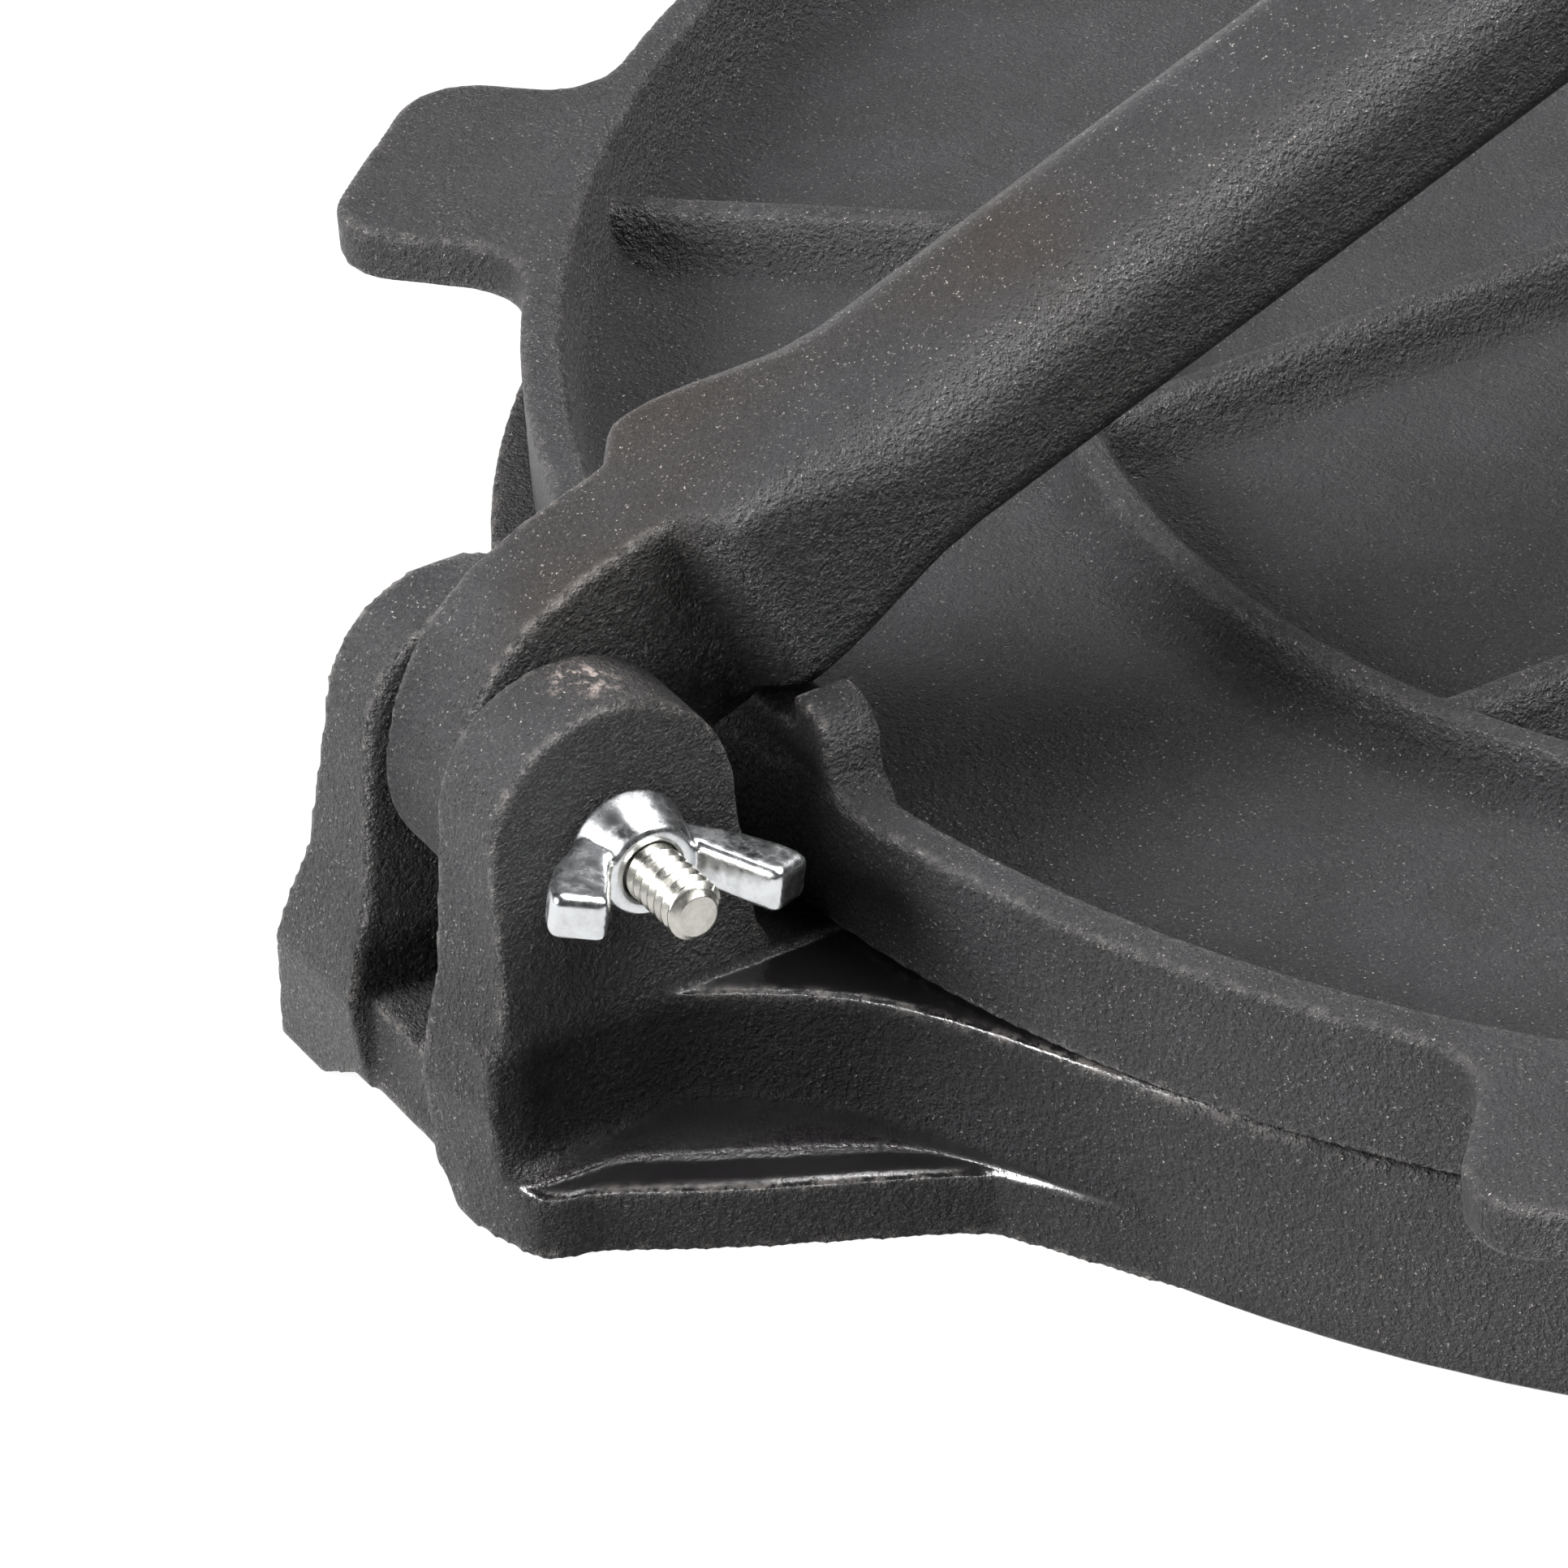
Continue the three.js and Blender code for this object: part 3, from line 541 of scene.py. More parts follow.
class PRESS_OT_base_round(bpy.types.Operator):
    """Model the round base with its skirt and the ribs underneath"""

    bl_idname = "press.base_round"
    bl_label = "Round Base"

    def execute(self, context):
        size = context.scene.press_plates
        top, edge, inner = size.base_height, size.edge, PLATE_R - size.skirt
        roof = top - size.base_web
        section = [(0, top)]
        section += arc((PLATE_R - edge, top - edge), edge, 90, 0, 5)
        section += [(PLATE_R, top * k / 12) for k in range(10, 0, -1)]
        section += [(PLATE_R, 0.4 * MM), (PLATE_R - 0.4 * MM, 0)]
        section += [(inner + edge / 2, 0), (inner, roof - size.fillet)]
        section += arc((inner - size.fillet, roof - size.fillet), size.fillet, 0, 90, 6)
        section += [(0, roof)]
        bm = bmesh.new()
        add_lathe(bm, section, 480)
        rib, low, high = size.base_rib, size.base_rib_foot, roof + size.base_rib / 2
        for angle in RIB_ANGLES:
            corners = add_prism_y(
                bm, [(-rib, low), (rib, low), (rib, high), (-rib, high)], 0, inner + size.skirt / 2)
            turn(bm, corners, math.radians(angle), "Z", (0, 0, 0))
        make_piece("base_round", bm, "base", ["base_casting"], base_iron(), [
            ("DISPLACE", {
                "texture": cloud("Sand grain", 1.5 * MM), "texture_coords": "LOCAL",
                "strength": 0.1 * MM, "mid_level": 0.5,
            }),
        ])
        return {"FINISHED"}


# How the foot flange and the narrower neck widen towards the base, a row for each station: its share
# of the way across from the front's half width to the flare's, or below zero how much narrower than
# the front it is, and its share of the way from the front to the flare.
FLANGE_SHARES = [
    (-0.5, 0), (-0.34, 0.015), (-0.11, 0.05), (-0.035, 0.1), (0, 0.155),
    (0.2, 0.39), (0.47, 0.75), (0.59, 0.83), (0.77, 0.905), (1, 1),
]
NECK_SHARES = [
    (-0.5, 0), (-0.09, 0), (0, 0.03), (0, 0.16), (0, 0.33),
    (0.03, 0.42), (0.15, 0.567), (0.315, 0.711), (0.572, 0.84), (1, 1),
]
# How the neck rises from its foot flange, a row for each level: its share of the height and how far
# it has drawn in from the flange's outline to its own.
LEVEL_SHARES = [
    (0, 0), (0.008, 0.2), (0.02, 0.38), (0.045, 0.55), (0.08, 0.68), (0.13, 0.79),
    (0.2, 0.88), (0.3, 0.94), (0.5, 0.97), (0.8, 0.99), (1, 1),
]


def finer(shares, per_span=4):
    """More stations on a smooth curve through a few."""
    ends = [shares[0], *shares, shares[-1]]
    line = []
    for i in range(1, len(ends) - 2):
        p0, p1, p2, p3 = (Vector(ends[i + k]) for k in (-1, 0, 1, 2))
        for k in range(per_span):
            t = k / per_span
            line.append(0.5 * (
                2 * p1 + (p2 - p0) * t + (2 * p0 - 5 * p1 + 4 * p2 - p3) * t * t
                + (3 * p1 - 3 * p2 + p3 - p0) * t ** 3
            ))
    return [*line, Vector(shares[-1])]


def neck_side(size, foot_half, body_half, neck_share):
    """One side of the neck's outline from its front to where it has run into the round base."""
    def station(shares, inner, outer, front, back):
        across = inner * (1 + shares.x) if shares.x < 0 else inner + (outer - inner) * shares.x
        return Vector((across, front + (back - front) * shares.y))

    foot_y, flare_y = -PLATE_R - 30.2 * MM, -PLATE_R + 10.2 * MM
    neck_y, neck_flare_y = -PLATE_R - 29.6 * MM, -PLATE_R + 9.2 * MM
    points = []
    for flange, neck in zip(finer(FLANGE_SHARES), finer(NECK_SHARES)):
        foot = station(flange, foot_half, size.flare_half, foot_y, flare_y)
        body = station(neck, body_half, size.neck_half, neck_y, neck_flare_y)
        points.append(foot.lerp(body, neck_share))
    return [*points, Vector((points[-1].x, -PLATE_R + 21 * MM))]


# On its far side the neck is wider at the foot by FAR_BODY and tapers upwards by FAR_TAPER of the
# height. There it ends after FAR_STATIONS points in a swell of the round base, which starts at
# SWELL_START degrees from the front and dies out over SWELL_STEPS steps.
FAR_BODY = 4.6 * MM
FAR_TAPER = 0.13
FAR_STATIONS = 31
SWELL = 4.2 * MM
SWELL_START = 21
SWELL_STEP = 2.2
SWELL_STEPS = 9


def neck_ring(size, height, neck_share):
    """The neck's outline at one height: the flange's at share 0 and the neck's own at share 1."""
    near = neck_side(size, size.foot_half, size.half, neck_share)
    far_body = size.half + FAR_BODY - height * FAR_TAPER
    far = neck_side(size, size.far_half, far_body, neck_share)[:FAR_STATIONS]
    for k in range(SWELL_STEPS + 1):
        angle = math.radians(SWELL_START + SWELL_STEP * k)
        radius = PLATE_R + SWELL * (1 - (k / SWELL_STEPS) ** 1.4)
        far.append(Vector((radius * math.sin(angle), -radius * math.cos(angle))))
    far.append(Vector((70 * MM, -PLATE_R + 38 * MM)))
    return [(p.x, p.y, height) for p in near] + [(-p.x, p.y, height) for p in reversed(far)]


class PRESS_OT_front_neck(bpy.types.Operator):
    """Model the neck with its foot flange and the clevis for the lever"""

    bl_idname = "press.front_neck"
    bl_label = "Front Neck and Clevis"

    def execute(self, context):
        size, plates = context.scene.press_clevis, context.scene.press_plates
        top = plates.base_height
        bm = bmesh.new()
        rings = [neck_ring(size, 0.0, 0.0)]
        for share, drawn_in in LEVEL_SHARES:
            rings.append(neck_ring(size, size.flange + (top - size.flange) * share, drawn_in))
        add_loft(bm, rings)
        head = Vector((-PLATE_R - 17 * MM, top + 15.9 * MM))
        front, rear, root = -PLATE_R - size.front, -PLATE_R - 5.4 * MM, size.root
        block = [(front, size.slot_floor), (-PLATE_R - 30.2 * MM, 0), (rear + 1.8 * MM, 0)]
        block += [(rear + 1.8 * MM, top), (rear + 1 * MM, top + root * 0.3), (rear, top + root)]
        block += arc(head, size.ear_radius, -4, 170, 28)
        block += [(front + 2.2 * MM, top + root), (front + 0.9 * MM, top - 1.2 * MM)]
        pivot = (PIVOT.y - CENTRE_Y, PIVOT.z)
        hole = bolt_hole(pivot, size.hole)
        for side in (-1, 1):
            low, high = sorted((side * size.slot_half, side * size.half))
            corners = add_prism_x(bm, [block, hole], low, high)
            shape_ear([v for v in corners if abs(v.co.x) > size.half - 1 * MM], side, head.x)
        cutter = clevis_cutter(size, front)
        nub = bmesh.ops.create_icosphere(bm, subdivisions=2, radius=0.8 * MM)["verts"]
        bmesh.ops.translate(bm, verts=nub, vec=(17.8 * MM, -PLATE_R - 26.5 * MM, 0.7 * MM))
        make_piece("front_neck", bm, "base", ["base_casting"], base_iron(), [
            ("REMESH", {"mode": "VOXEL", "voxel_size": 0.42 * MM}),
            ("BOOLEAN", {"operation": "DIFFERENCE", "object": cutter, "solver": "EXACT"}),
            *cast_skin(0.42 * MM, 3),
        ])
        bpy.data.objects.remove(cutter)
        return {"FINISHED"}


# The near ear's outer face draws back at its front by EAR_DRAW, up to heights where it runs straight.
# The far ear's outer face leans out towards its foot by EAR_LEAN of the way down from EAR_TOP.
EAR_DRAW = 1.8 * MM
EAR_STRAIGHT = (16 * MM, 30 * MM)
EAR_TOP = 30 * MM
EAR_INSET = 1.7 * MM
EAR_LEAN = 0.33


def shape_ear(outer, side, head_y):
    """Draws or leans the outer face of an ear block, by its corners."""
    for vert in outer:
        if side > 0 and vert.co.y < head_y:
            vert.co.y += EAR_DRAW * (1 - ease(*EAR_STRAIGHT, vert.co.z))
        if side < 0:
            vert.co.x += EAR_INSET - max(0, EAR_TOP - vert.co.z) * EAR_LEAN


def clevis_cutter(size, front):
    """The slot between the ears and the arch under the foot, as one cutter."""
    bm = bmesh.new()
    over, rear, roof = 4 * MM, -PLATE_R - 3.6 * MM, 30 * MM
    slot = [(front - over, size.slot_floor), (rear, size.slot_floor), (rear, roof), (front - over, roof)]
    add_prism_x(bm, slot, -size.slot_half, size.slot_half)
    arch = [(-15.2 * MM, -over), (7.2 * MM, -over), (7.2 * MM, 0), (4.9 * MM, 4.2 * MM),
            (-8 * MM, 4.2 * MM), (-15.2 * MM, 0)]
    add_prism_y(bm, arch, front - over, -PLATE_R - 9 * MM)
    tidy(bm)
    bmesh.ops.translate(bm, verts=bm.verts[:], vec=(0, CENTRE_Y, 0))
    mesh = bpy.data.meshes.new("clevis_cuts")
    bm.to_mesh(mesh)
    bm.free()
    cutter = bpy.data.objects.new("clevis_cuts", mesh)
    bpy.context.scene.collection.objects.link(cutter)
    return cutter


class PRESS_OT_rear_neck(bpy.types.Operator):
    """Model the rear neck and the two ears that carry the plate's hinge"""

    bl_idname = "press.rear_neck"
    bl_label = "Rear Neck"

    def execute(self, context):
        size, plates = context.scene.press_clevis, context.scene.press_plates
        top = plates.base_height
        hinge = (HINGE.y - CENTRE_Y, HINGE.z)
        half, end, radius = size.rear_half, PLATE_R + size.rear_end, size.rear_radius
        bm = bmesh.new()
        root = PLATE_R - plates.skirt
        for side in (-1, 1):
            inner, outer = side * size.slot_half, side * half
            plan = [(inner, root), (side * 24 * MM, root), (side * 17 * MM, PLATE_R + 4 * MM),
                    (outer, hinge[0]), (outer, end), (inner, end)]
            add_prism_z(bm, plan, 0, top)
            ear = [(hinge[0] - radius, top - 1 * MM), (end, top - 1 * MM)]
            ear += arc(hinge, radius, 0, 180, 24)
            low, high = sorted((inner, outer))
            add_prism_x(bm, [ear, bolt_hole(hinge, size.hole)], low, high)
        add_prism_z(bm, [(-7 * MM, root), (7 * MM, root), (7 * MM, end), (-7 * MM, end)],
                    0, top - 1.8 * MM)
        make_piece("rear_neck", bm, "base", ["base_casting"], base_iron(),
                   cast_skin(0.5 * MM, 3))
        return {"FINISHED"}


class PRESS_OT_plate_disc(bpy.types.Operator):
    """Model the pressing plate's round floor"""

    bl_idname = "press.plate_disc"
    bl_label = "Plate Disc"

    def execute(self, context):
        size = context.scene.press_plates
        outer = PLATE_R - size.rim / 2
        low, high = size.plate_bottom, size.floor
        section = [(0, low), (outer - 1 * MM, low), (outer, low + 1 * MM), (outer, high)]
        section += [(outer * (1 - k / 60), high) for k in range(1, 60)]
        section += [(0, high)]
        bm = bmesh.new()
        add_lathe(bm, section, 360)
        make_piece("plate_disc", bm, "plate", ["press_plate"], plate_iron())
        return {"FINISHED"}


# The finger tabs' place round the plate from its front, and how far they swing back there, in degrees
TAB_ANGLE = 47.8
TAB_SWING = 6.5


def tab_outline(size, rim, swing):
    """A finger tab's outline along +X, from inside the rim to its tip, rounded into the round edge."""
    half, tip, root = size.width / 2, size.reach, size.root_radius
    wide, corner = half + root, size.tip_radius

    def edge_at(radius, y):
        return math.sqrt(radius ** 2 - (y - swing) ** 2), y

    def fillet(y, start):
        reach = edge_at(PLATE_R, y)[0]
        corners = (edge_at(PLATE_R, start), (reach, y), (reach + root, y))
        first, middle, last = (Vector(corner) for corner in corners)
        return [tuple(first.lerp(middle, t).lerp(middle.lerp(last, t), t))
                for t in (k / 10 for k in range(11))]

    points = [edge_at(PLATE_R - rim + 0.3 * MM, wide * (1 - k / 5)) for k in range(11)]
    points += fillet(-half, -wide)
    points += arc((tip - corner, -half + corner), corner, -90, 0, 8)
    points += arc((tip - corner, half - corner), corner, 0, 90, 8)
    points += reversed(fillet(half, wide))
    return points


class PRESS_OT_plate_rim(bpy.types.Operator):
    """Model the rim with its finger tabs, the lug for the cam and the hinge tongue"""

    bl_idname = "press.plate_rim"
    bl_label = "Plate Rim"

    def execute(self, context):
        size, tabs = context.scene.press_plates, context.scene.press_tabs
        low, top, floor = size.plate_bottom, size.plate_top, size.floor
        inner = PLATE_R - size.rim
        foot = inner - 0.9 * MM
        section = [(PLATE_R, low), (PLATE_R, top), (inner, top)]
        section += arc((foot - size.fillet, floor + size.fillet), size.fillet, 0, -90, 8)
        section += [(foot - size.fillet - 2 * MM, floor - 0.6 * MM),
                    (foot - size.fillet, low + 1.2 * MM), (PLATE_R - 2.2 * MM, low + 0.8 * MM),
                    (PLATE_R - 1.6 * MM, low)]
        bm = bmesh.new()
        add_lathe(bm, section, 360)
        for side in (-1, 1):
            swing = side * PLATE_R * math.sin(math.radians(TAB_SWING))
            plan = tab_outline(tabs, size.rim, swing)
            corners = add_prism_z(bm, plan, top - tabs.thickness, top)
            bmesh.ops.translate(bm, verts=corners, vec=(0, -swing, 0))
            turn(bm, corners, math.radians(-90 + side * TAB_ANGLE), "Z", (0, 0, 0))
        add_lug(bm, tabs, top)
        hinge = (HINGE.y - CENTRE_Y, HINGE.z)
        root, under, over = PLATE_R - tabs.tongue_root, low + 1 * MM, top - size.edge
        tongue = [(root, under), (PLATE_R, under), *arc(hinge, tabs.tongue_radius, -120, 110, 24)]
        tongue += [(PLATE_R, over), (root, over)]
        half = tabs.tongue_half
        add_prism_x(bm, [tongue, bolt_hole(hinge, context.scene.press_clevis.hole)], -half, half)
        make_piece("plate_rim", bm, "plate", ["press_plate"], plate_iron(),
                   cast_skin(0.56 * MM, 3))
        return {"FINISHED"}


def add_lug(bm, size, top):
    """The lug on the rim, with two horns and a saddle for the lever's cam."""
    half, foot, horn = size.lug_half, size.lug_foot, top + size.lug_height
    right = [(foot + 0.6 * MM, top - 5 * MM), (foot + 0.6 * MM, top - 0.3 * MM)]
    right += [(half + 0.4 * MM, top + 0.7 * MM), (half, top + 2 * MM)]
    right += arc((half - 3.4 * MM, horn - 3.4 * MM), 3.4 * MM, 0, 90, 6)
    right += [(size.saddle_half + 0.4 * MM, horn), (size.saddle_half, horn - 0.4 * MM)]
    right += [(size.saddle_half, top + size.saddle_height)]
    front = -math.sqrt(PLATE_R ** 2 - foot ** 2)
    left = [(-x, z) for x, z in reversed(right)]
    add_prism_y(bm, right + left, front, front + size.lug_depth)


def rib_section(size, base=0.0):
    """Half of a rib's section from its top's middle to its foot, and mirrored: (across, height)."""
    half, fillet, edge = size.rib_width / 2, size.rib_fillet, 0.6 * MM
    rise = size.floor + size.rib_height
    side = half + 0.5 * MM
    right = [(half - edge, rise), (half, rise - edge)]
    right += arc((side + fillet, size.floor + fillet * 0.9), fillet, 180, 262, 7)
    right += [(side + fillet + 1.2 * MM, size.floor - 0.35 * MM), (side + 1 * MM, size.floor - 1.6 * MM)]
    left = [(-x, z) for x, z in reversed(right)]
    return [(x + base, z) for x, z in right + left]


class PRESS_OT_plate_ribs(bpy.types.Operator):
    """Model the raised ring and the ribs on the pressing plate"""

    bl_idname = "press.plate_ribs"
    bl_label = "Ring and Ribs"

    def execute(self, context):
        size = context.scene.press_plates
        bm = bmesh.new()
        add_lathe(bm, rib_section(size, size.ring_radius), 360)
        section = rib_section(size)
        for angle in RIB_ANGLES:
            corners = add_prism_y(bm, section, size.ring_radius, PLATE_R - size.rim)
            turn(bm, corners, math.radians(angle), "Z", (0, 0, 0))
        reach = math.sqrt(size.ring_radius ** 2 - size.chord ** 2)
        for side in (-1, 1):
            corners = add_prism_y(bm, section, -reach, reach)
            bmesh.ops.translate(bm, verts=corners, vec=(side * size.chord, 0, 0))
        make_piece("plate_ribs", bm, "plate", ["press_plate"], plate_iron(),
                   cast_skin(0.45 * MM, 1))
        return {"FINISHED"}


def arm_ring(size, along):
    """The arm's section at a distance from the pivot: a crowned top and a tighter belly."""
    shoulder = ease(15 * MM, 20.6 * MM, along)
    grip = 1 - 0.14 * ease(150 * MM, size.total, along)
    tip_length = 9 * MM
    past = max(0.0, (along - size.total + tip_length) / tip_length)
    tip = math.sqrt(max(0.0, 1 - past ** 2))
    narrow = size.barrel_half - 0.9 * MM
    half = (narrow + (size.half - narrow) * shoulder) * grip * (0.45 + 0.55 * tip)
    settle = ease(20.6 * MM, 38 * MM, along)
    high = size.cam_top + (size.top - size.cam_top) * settle
    low = size.cam_bottom + (size.bottom - size.cam_bottom) * settle
    middle = (high + low) / 2
    rise = (high - middle) * grip * (0.3 + 0.7 * tip)
    crown = min((2.2 + 3.9 * settle) * MM, half * 0.8, rise)
    belly = min(2.6 * MM, half * 0.6, rise * 0.6)
    low, high = middle - rise, middle + rise
    ring = arc((half - belly, low + belly), belly, -90, 0, 6)
    ring += arc((half - crown, high - crown), crown, 0, 90, 10)
    ring += arc((crown - half, high - crown), crown, 90, 180, 10)
    ring += arc((belly - half, low + belly), belly, 180, 270, 6)
    return [(x, along, z) for x, z in ring]


class PRESS_OT_lever(bpy.types.Operator):
    """Model the lever with its barrel, cam and long arm"""

    bl_idname = "press.lever"
    bl_label = "Lever"

    def execute(self, context):
        size = context.scene.press_lever
        bm = bmesh.new()
        stops = [15, 16, 17, 18, 19, 20, 20.8, 22, 24, 27, 30, 34, 38, 42, 60, 90, 120, 150,
                 180, 210, 235, 253, 255, 257, 259, 260.5, 261.7]
        add_loft(bm, [arm_ring(size, stop * MM) for stop in stops])
        r = size.barrel
        boss = arc((0, 0), r, 338, 148, 40)
        boss += [(-r * 0.6, r * 0.88), (-r * 0.36, r * 1.1), (-r * 0.08, size.cam_top * 0.86)]
        boss += [(r * 0.38, size.cam_top * 0.965), (r * 0.9, size.cam_top)]
        boss += [(20.6 * MM, size.cam_top - 0.4 * MM), (20.6 * MM, size.cam_bottom)]
        hole = bolt_hole((0, 0), context.scene.press_clevis.hole)
        add_prism_x(bm, [boss, hole], -size.barrel_half, size.barrel_half)
        turn(bm, bm.verts[:], size.rise, "X", (0, 0, 0))
        bmesh.ops.translate(bm, verts=bm.verts[:], vec=PIVOT)
        make_piece("lever_arm", bm, "lever", ["lever_handle"], lever_iron(),
                   cast_skin(0.42 * MM, 5), shift=0)
        return {"FINISHED"}


def add_thread(bm, size, start, end):
    """A bolt's threaded shank along X with a real helix, cut square at both ends and pointed."""
    crest, root = size.radius, size.radius - size.thread_depth
    pitch, per_turn = size.pitch, 32
    first = start - 2 * pitch
    turns = math.ceil((end - first) / pitch) + 1
    shares = [(0, root), (0.12, root), (0.42, crest), (0.58, crest), (0.88, root), (1, root)]
    verts = [bm.verts.new((first + pitch * along, r, 0)) for along, r in shares]
    edges = [bm.edges.new(pair) for pair in zip(verts, verts[1:])]
    bmesh.ops.spin(
        bm, geom=verts + edges, cent=(0, 0, 0), axis=(1, 0, 0), angle=math.tau * turns,
        dvec=(pitch / per_turn, 0, 0), steps=per_turn * turns,
    )
    bmesh.ops.remove_doubles(bm, verts=bm.verts[:], dist=0.01 * MM)
    point = end - 0.5 * MM
    for plane, facing in ((start, -1), (point, 1)):
        cut = bmesh.ops.bisect_plane(
            bm, geom=bm.verts[:] + bm.edges[:] + bm.faces[:], plane_co=(plane, 0, 0),
            plane_no=(facing, 0, 0), clear_outer=True, dist=0.001 * MM,
        )["geom_cut"]
        rim = [item for item in cut if isinstance(item, bmesh.types.BMEdge)]
        face = bmesh.ops.edgeloop_fill(bm, edges=rim)["faces"]
        if facing > 0:
            for share, out in ((0.985, 0.02 * MM), (0.8, 0.44 * MM), (0.98, 0.04 * MM), (0.94, 0)):
                drawn = bmesh.ops.extrude_discrete_faces(bm, faces=face)["faces"]
                corners = list({v for item in drawn for v in item.verts})
                bmesh.ops.scale(bm, verts=corners, vec=(1, share, share))
                bmesh.ops.translate(bm, verts=corners, vec=(out, 0, 0))
                face = drawn


def make_bolt(context, name, node, centre, half):
    size = context.scene.press_bolts
    bm = bmesh.new()
    start, end = -half - 0.6 * MM, half + size.reach
    add_thread(bm, size, start, end)
    head = bmesh.ops.create_cone(
        bm, cap_ends=True, cap_tris=False, segments=6, radius1=size.head_width / math.sqrt(3),
        radius2=size.head_width / math.sqrt(3), depth=size.head_height,
    )["verts"]
    turn(bm, head, math.pi / 2, "Y", (0, 0, 0))
    bmesh.ops.translate(bm, verts=head, vec=(-half - 0.1 * MM - size.head_height / 2, 0, 0))
    rims = [edge for edge in bm.edges if set(edge.verts) <= set(head)]
    bmesh.ops.bevel(
        bm, geom=rims, offset=0.45 * MM, affect="EDGES", segments=3, profile=0.5, material=-1
    )
    bmesh.ops.translate(bm, verts=bm.verts[:], vec=centre)
    zinc = material_named("Zinc-plated rolled thread", zinc_plate,
                          context.scene.press_finishes.zinc_thread, 0.27)
    make_piece(name, bm, "base", [node], zinc, shift=0)


class PRESS_OT_bolts(bpy.types.Operator):
    """Model the two machine bolts with their threads and hexagon heads"""

    bl_idname = "press.bolts"
    bl_label = "Bolts"

    def execute(self, context):
        clevis = context.scene.press_clevis
        make_bolt(context, "lever_bolt_threaded", "lever_bolt", PIVOT, clevis.half)
        make_bolt(context, "hinge_bolt_threaded", "hinge_bolt", HINGE, clevis.rear_half)
        return {"FINISHED"}


def make_wing_nut(context, name, node, body, centre, half, angle):
    """A wing nut: a tapered hub and two flared wings, built along X and melted into one."""
    size = context.scene.press_bolts
    hub, top, height = size.hub, size.hub_top, size.hub_height
    bore = size.radius + 0.05 * MM
    bm = bmesh.new()
    add_lathe(bm, [(bore, 0), (hub - 0.3 * MM, 0), (hub, 0.4 * MM), (top, height - 0.3 * MM),
                   (top - 0.4 * MM, height), (bore + 0.25 * MM, height), (bore, height - 0.3 * MM)],
              64, axis="X")
    reach, rise = size.wing_reach, size.wing_rise
    wing = [(hub * 0.62, height * 0.14), (hub * 0.96, height * 0.14), (reach * 0.74, rise * 0.34),
            (reach * 0.92, rise * 0.58), (reach, rise * 0.8), (reach * 0.66, rise),
            (reach * 0.5, rise * 0.72), (top, height * 0.96), (hub * 0.62, height * 0.9)]
    for side in (-1, 1):
        corners = set(add_prism(
            bm, wing, lambda y, x: (x, side * y, -size.wing / 2), (0, 0, size.wing)))
        rims = [e for e in bm.edges if set(e.verts) <= corners and len(e.link_faces) == 2
                and e.calc_face_angle(0) > 0.1 and max(abs(v.co.y) for v in e.verts) > hub]
        bmesh.ops.bevel(bm, geom=rims, offset=0.8 * MM, offset_type="OFFSET", affect="EDGES",
                        segments=3, profile=0.5, material=-1, clamp_overlap=True)
    turn(bm, bm.verts[:], angle, "X", (0, 0, 0))
    bmesh.ops.translate(bm, verts=bm.verts[:], vec=Vector((half + 0.1 * MM, centre.y, centre.z)))
    zinc = material_named("Bright zinc-plated casting", zinc_plate,
                          context.scene.press_finishes.zinc, 0.22)
    make_piece(name, bm, body, [node], zinc, [
        ("REMESH", {"mode": "VOXEL", "voxel_size": 0.15 * MM, "use_smooth_shade": True}),
        ("SMOOTH", {"factor": 0.5, "iterations": 5}),
    ], shift=0)


class PRESS_OT_wing_nuts(bpy.types.Operator):
    """Model the two wing nuts"""

    bl_idname = "press.wing_nuts"
    bl_label = "Wing Nuts"

    def execute(self, context):
        size, clevis = context.scene.press_bolts, context.scene.press_clevis
        make_wing_nut(context, "lever_wing_nut_cast", "lever_wing_nut", "lever_nut", PIVOT,
                      clevis.half, size.lever_nut_turn)
        make_wing_nut(context, "hinge_wing_nut_cast", "hinge_wing_nut", "hinge_nut", HINGE,
                      clevis.rear_half, size.hinge_nut_turn)
        return {"FINISHED"}


# Camera: where it stands round the press, how far it is from its aim and its lens
CAMERA_AIM = Vector((5.32 * MM, -124.59 * MM + CENTRE_Y, 25.7 * MM))
CAMERA_AZIMUTH = 62.55
CAMERA_ELEVATION = 32.81
CAMERA_ROLL = -4.64
CAMERA_DISTANCE = 749.8 * MM
CAMERA_LENS = 222.1


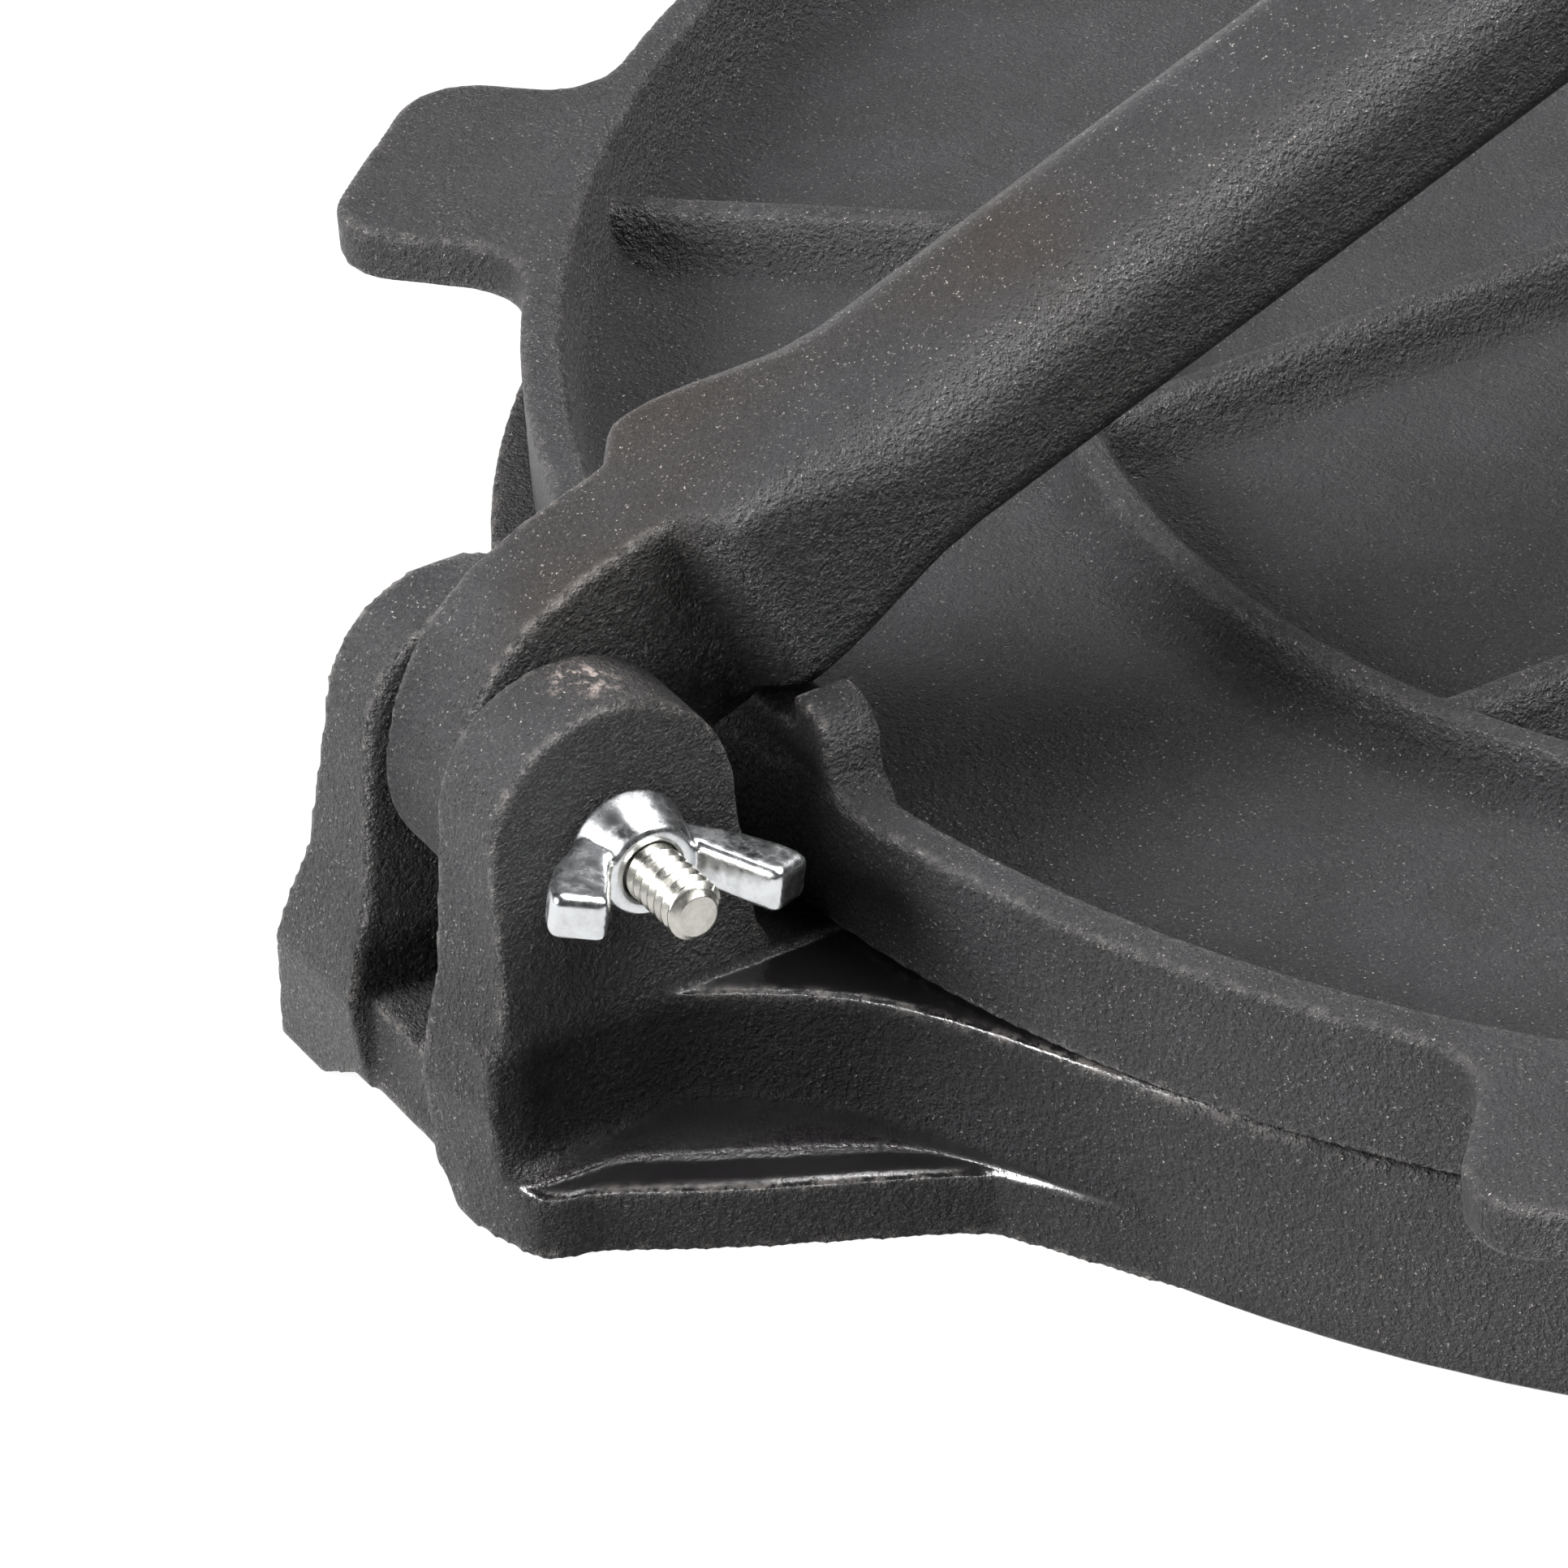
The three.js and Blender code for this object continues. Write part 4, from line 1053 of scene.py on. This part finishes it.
class PRESS_OT_stage(bpy.types.Operator):
    """Set up the floor, the soft studio lights and the camera"""

    bl_idname = "press.stage"
    bl_label = "Studio"

    def execute(self, context):
        scene = context.scene
        scene.view_settings.view_transform = "Standard"
        bm = bmesh.new()
        bmesh.ops.create_grid(bm, x_segments=1, y_segments=1, size=3)
        mesh = bpy.data.meshes.new("floor")
        bm.to_mesh(mesh)
        bm.free()
        floor = bpy.data.objects.new("floor", mesh)
        floor.data.materials.append(studio_floor(scene.press_finishes.floor))
        scene.collection.objects.link(floor)
        world = bpy.data.worlds.new("Studio")
        scene.world = world
        world.use_nodes = True
        studio_world(world.node_tree)
        add_softbox("Top softbox", (0.0, 0.36, 0.93), (0, -0.05, 0), 1.0, 0.8, 42)
        add_softbox("Left softbox", (-0.22, -0.97, 0.5), (0, -0.12, 0.02), 0.7, 0.5, 47)
        data = bpy.data.cameras.new("Camera")
        data.lens = CAMERA_LENS
        data.clip_start, data.clip_end = 0.01, 20
        camera = bpy.data.objects.new("Camera", data)
        scene.collection.objects.link(camera)
        turned = (Matrix.Rotation(math.radians(CAMERA_AZIMUTH), 4, "Z")
                  @ Matrix.Rotation(math.radians(90 - CAMERA_ELEVATION), 4, "X")
                  @ Matrix.Rotation(math.radians(CAMERA_ROLL), 4, "Z"))
        back = turned.to_3x3() @ Vector((0, 0, 1))
        camera.matrix_world = Matrix.Translation(CAMERA_AIM + back * CAMERA_DISTANCE) @ turned
        scene.camera = camera
        return {"FINISHED"}


def add_softbox(name, spot, aim, width, height, power):
    light = bpy.data.lights.new(name, "AREA")
    light.shape = "RECTANGLE"
    light.size, light.size_y = width, height
    light.energy = power
    lamp = bpy.data.objects.new(name, light)
    bpy.context.scene.collection.objects.link(lamp)
    lamp.location = spot
    lamp.rotation_euler = (Vector(spot) - Vector(aim)).to_track_quat("Z", "Y").to_euler()


def studio_floor(shade):
    """Matt paper: pale, with the object's soft shadow left on it."""
    material, tree = new_material("Matt studio paper")
    path = add_node(tree, "ShaderNodeLightPath").outputs
    seen = add_node(tree, "ShaderNodeMath", {0: path["Is Camera Ray"], 1: path["Is Glossy Ray"]},
                    operation="MAXIMUM").outputs[0]
    seen = add_node(tree, "ShaderNodeMath", {0: seen, 1: path["Is Transmission Ray"]},
                    operation="MAXIMUM").outputs[0]
    paper = add_node(tree, "ShaderNodeBsdfDiffuse", {"Color": rgba(shade)})
    glow = add_node(tree, "ShaderNodeEmission", {"Color": rgba(grey(1)), "Strength": 0.92})
    lit = add_node(tree, "ShaderNodeAddShader", {0: paper.outputs[0], 1: glow.outputs[0]})
    both = add_node(tree, "ShaderNodeMixShader", {0: seen, 1: paper.outputs[0], 2: lit.outputs[0]})
    add_node(tree, "ShaderNodeOutputMaterial", {"Surface": both.outputs[0]})
    return material


def studio_world(tree):
    """A plain grey room that looks white to the camera."""
    tree.nodes.clear()
    path = add_node(tree, "ShaderNodeLightPath").outputs
    room = add_node(tree, "ShaderNodeBackground", {"Color": rgba(grey(1)), "Strength": 0.04})
    white = add_node(tree, "ShaderNodeBackground", {"Color": rgba(grey(1)), "Strength": 1.0})
    both = add_node(tree, "ShaderNodeMixShader", {
        0: path["Is Camera Ray"], 1: room.outputs[0], 2: white.outputs[0],
    })
    add_node(tree, "ShaderNodeOutputWorld", {"Surface": both.outputs[0]})


OPERATORS = (
    PRESS_OT_base_round, PRESS_OT_front_neck, PRESS_OT_rear_neck, PRESS_OT_plate_disc,
    PRESS_OT_plate_rim, PRESS_OT_plate_ribs, PRESS_OT_lever, PRESS_OT_bolts, PRESS_OT_wing_nuts,
    PRESS_OT_stage,
)


class PRESS_PT_pieces(bpy.types.Panel):
    """The press's pieces, one button each"""

    bl_label = "Tortilla Press"
    bl_idname = "PRESS_PT_pieces"
    bl_space_type = "VIEW_3D"
    bl_region_type = "UI"
    bl_category = "Press"

    def draw(self, context):
        for operator in OPERATORS:
            self.layout.operator(operator.bl_idname)


GROUPS = {
    "press_plates": PlateSizes,
    "press_tabs": TabSizes,
    "press_clevis": ClevisSizes,
    "press_lever": LeverSizes,
    "press_bolts": BoltSizes,
    "press_finishes": Finishes,
}


def register():
    for name, group in GROUPS.items():
        bpy.utils.register_class(group)
        setattr(bpy.types.Scene, name, PointerProperty(type=group))
    for item in (*OPERATORS, PRESS_PT_pieces):
        bpy.utils.register_class(item)


def unregister():
    for item in (PRESS_PT_pieces, *reversed(OPERATORS)):
        bpy.utils.unregister_class(item)
    for name, group in reversed(GROUPS.items()):
        delattr(bpy.types.Scene, name)
        bpy.utils.unregister_class(group)


def main():
    register()
    for operator in OPERATORS:
        section, name = operator.bl_idname.split(".")
        getattr(getattr(bpy.ops, section), name)()


if __name__ == "__main__":
    main()
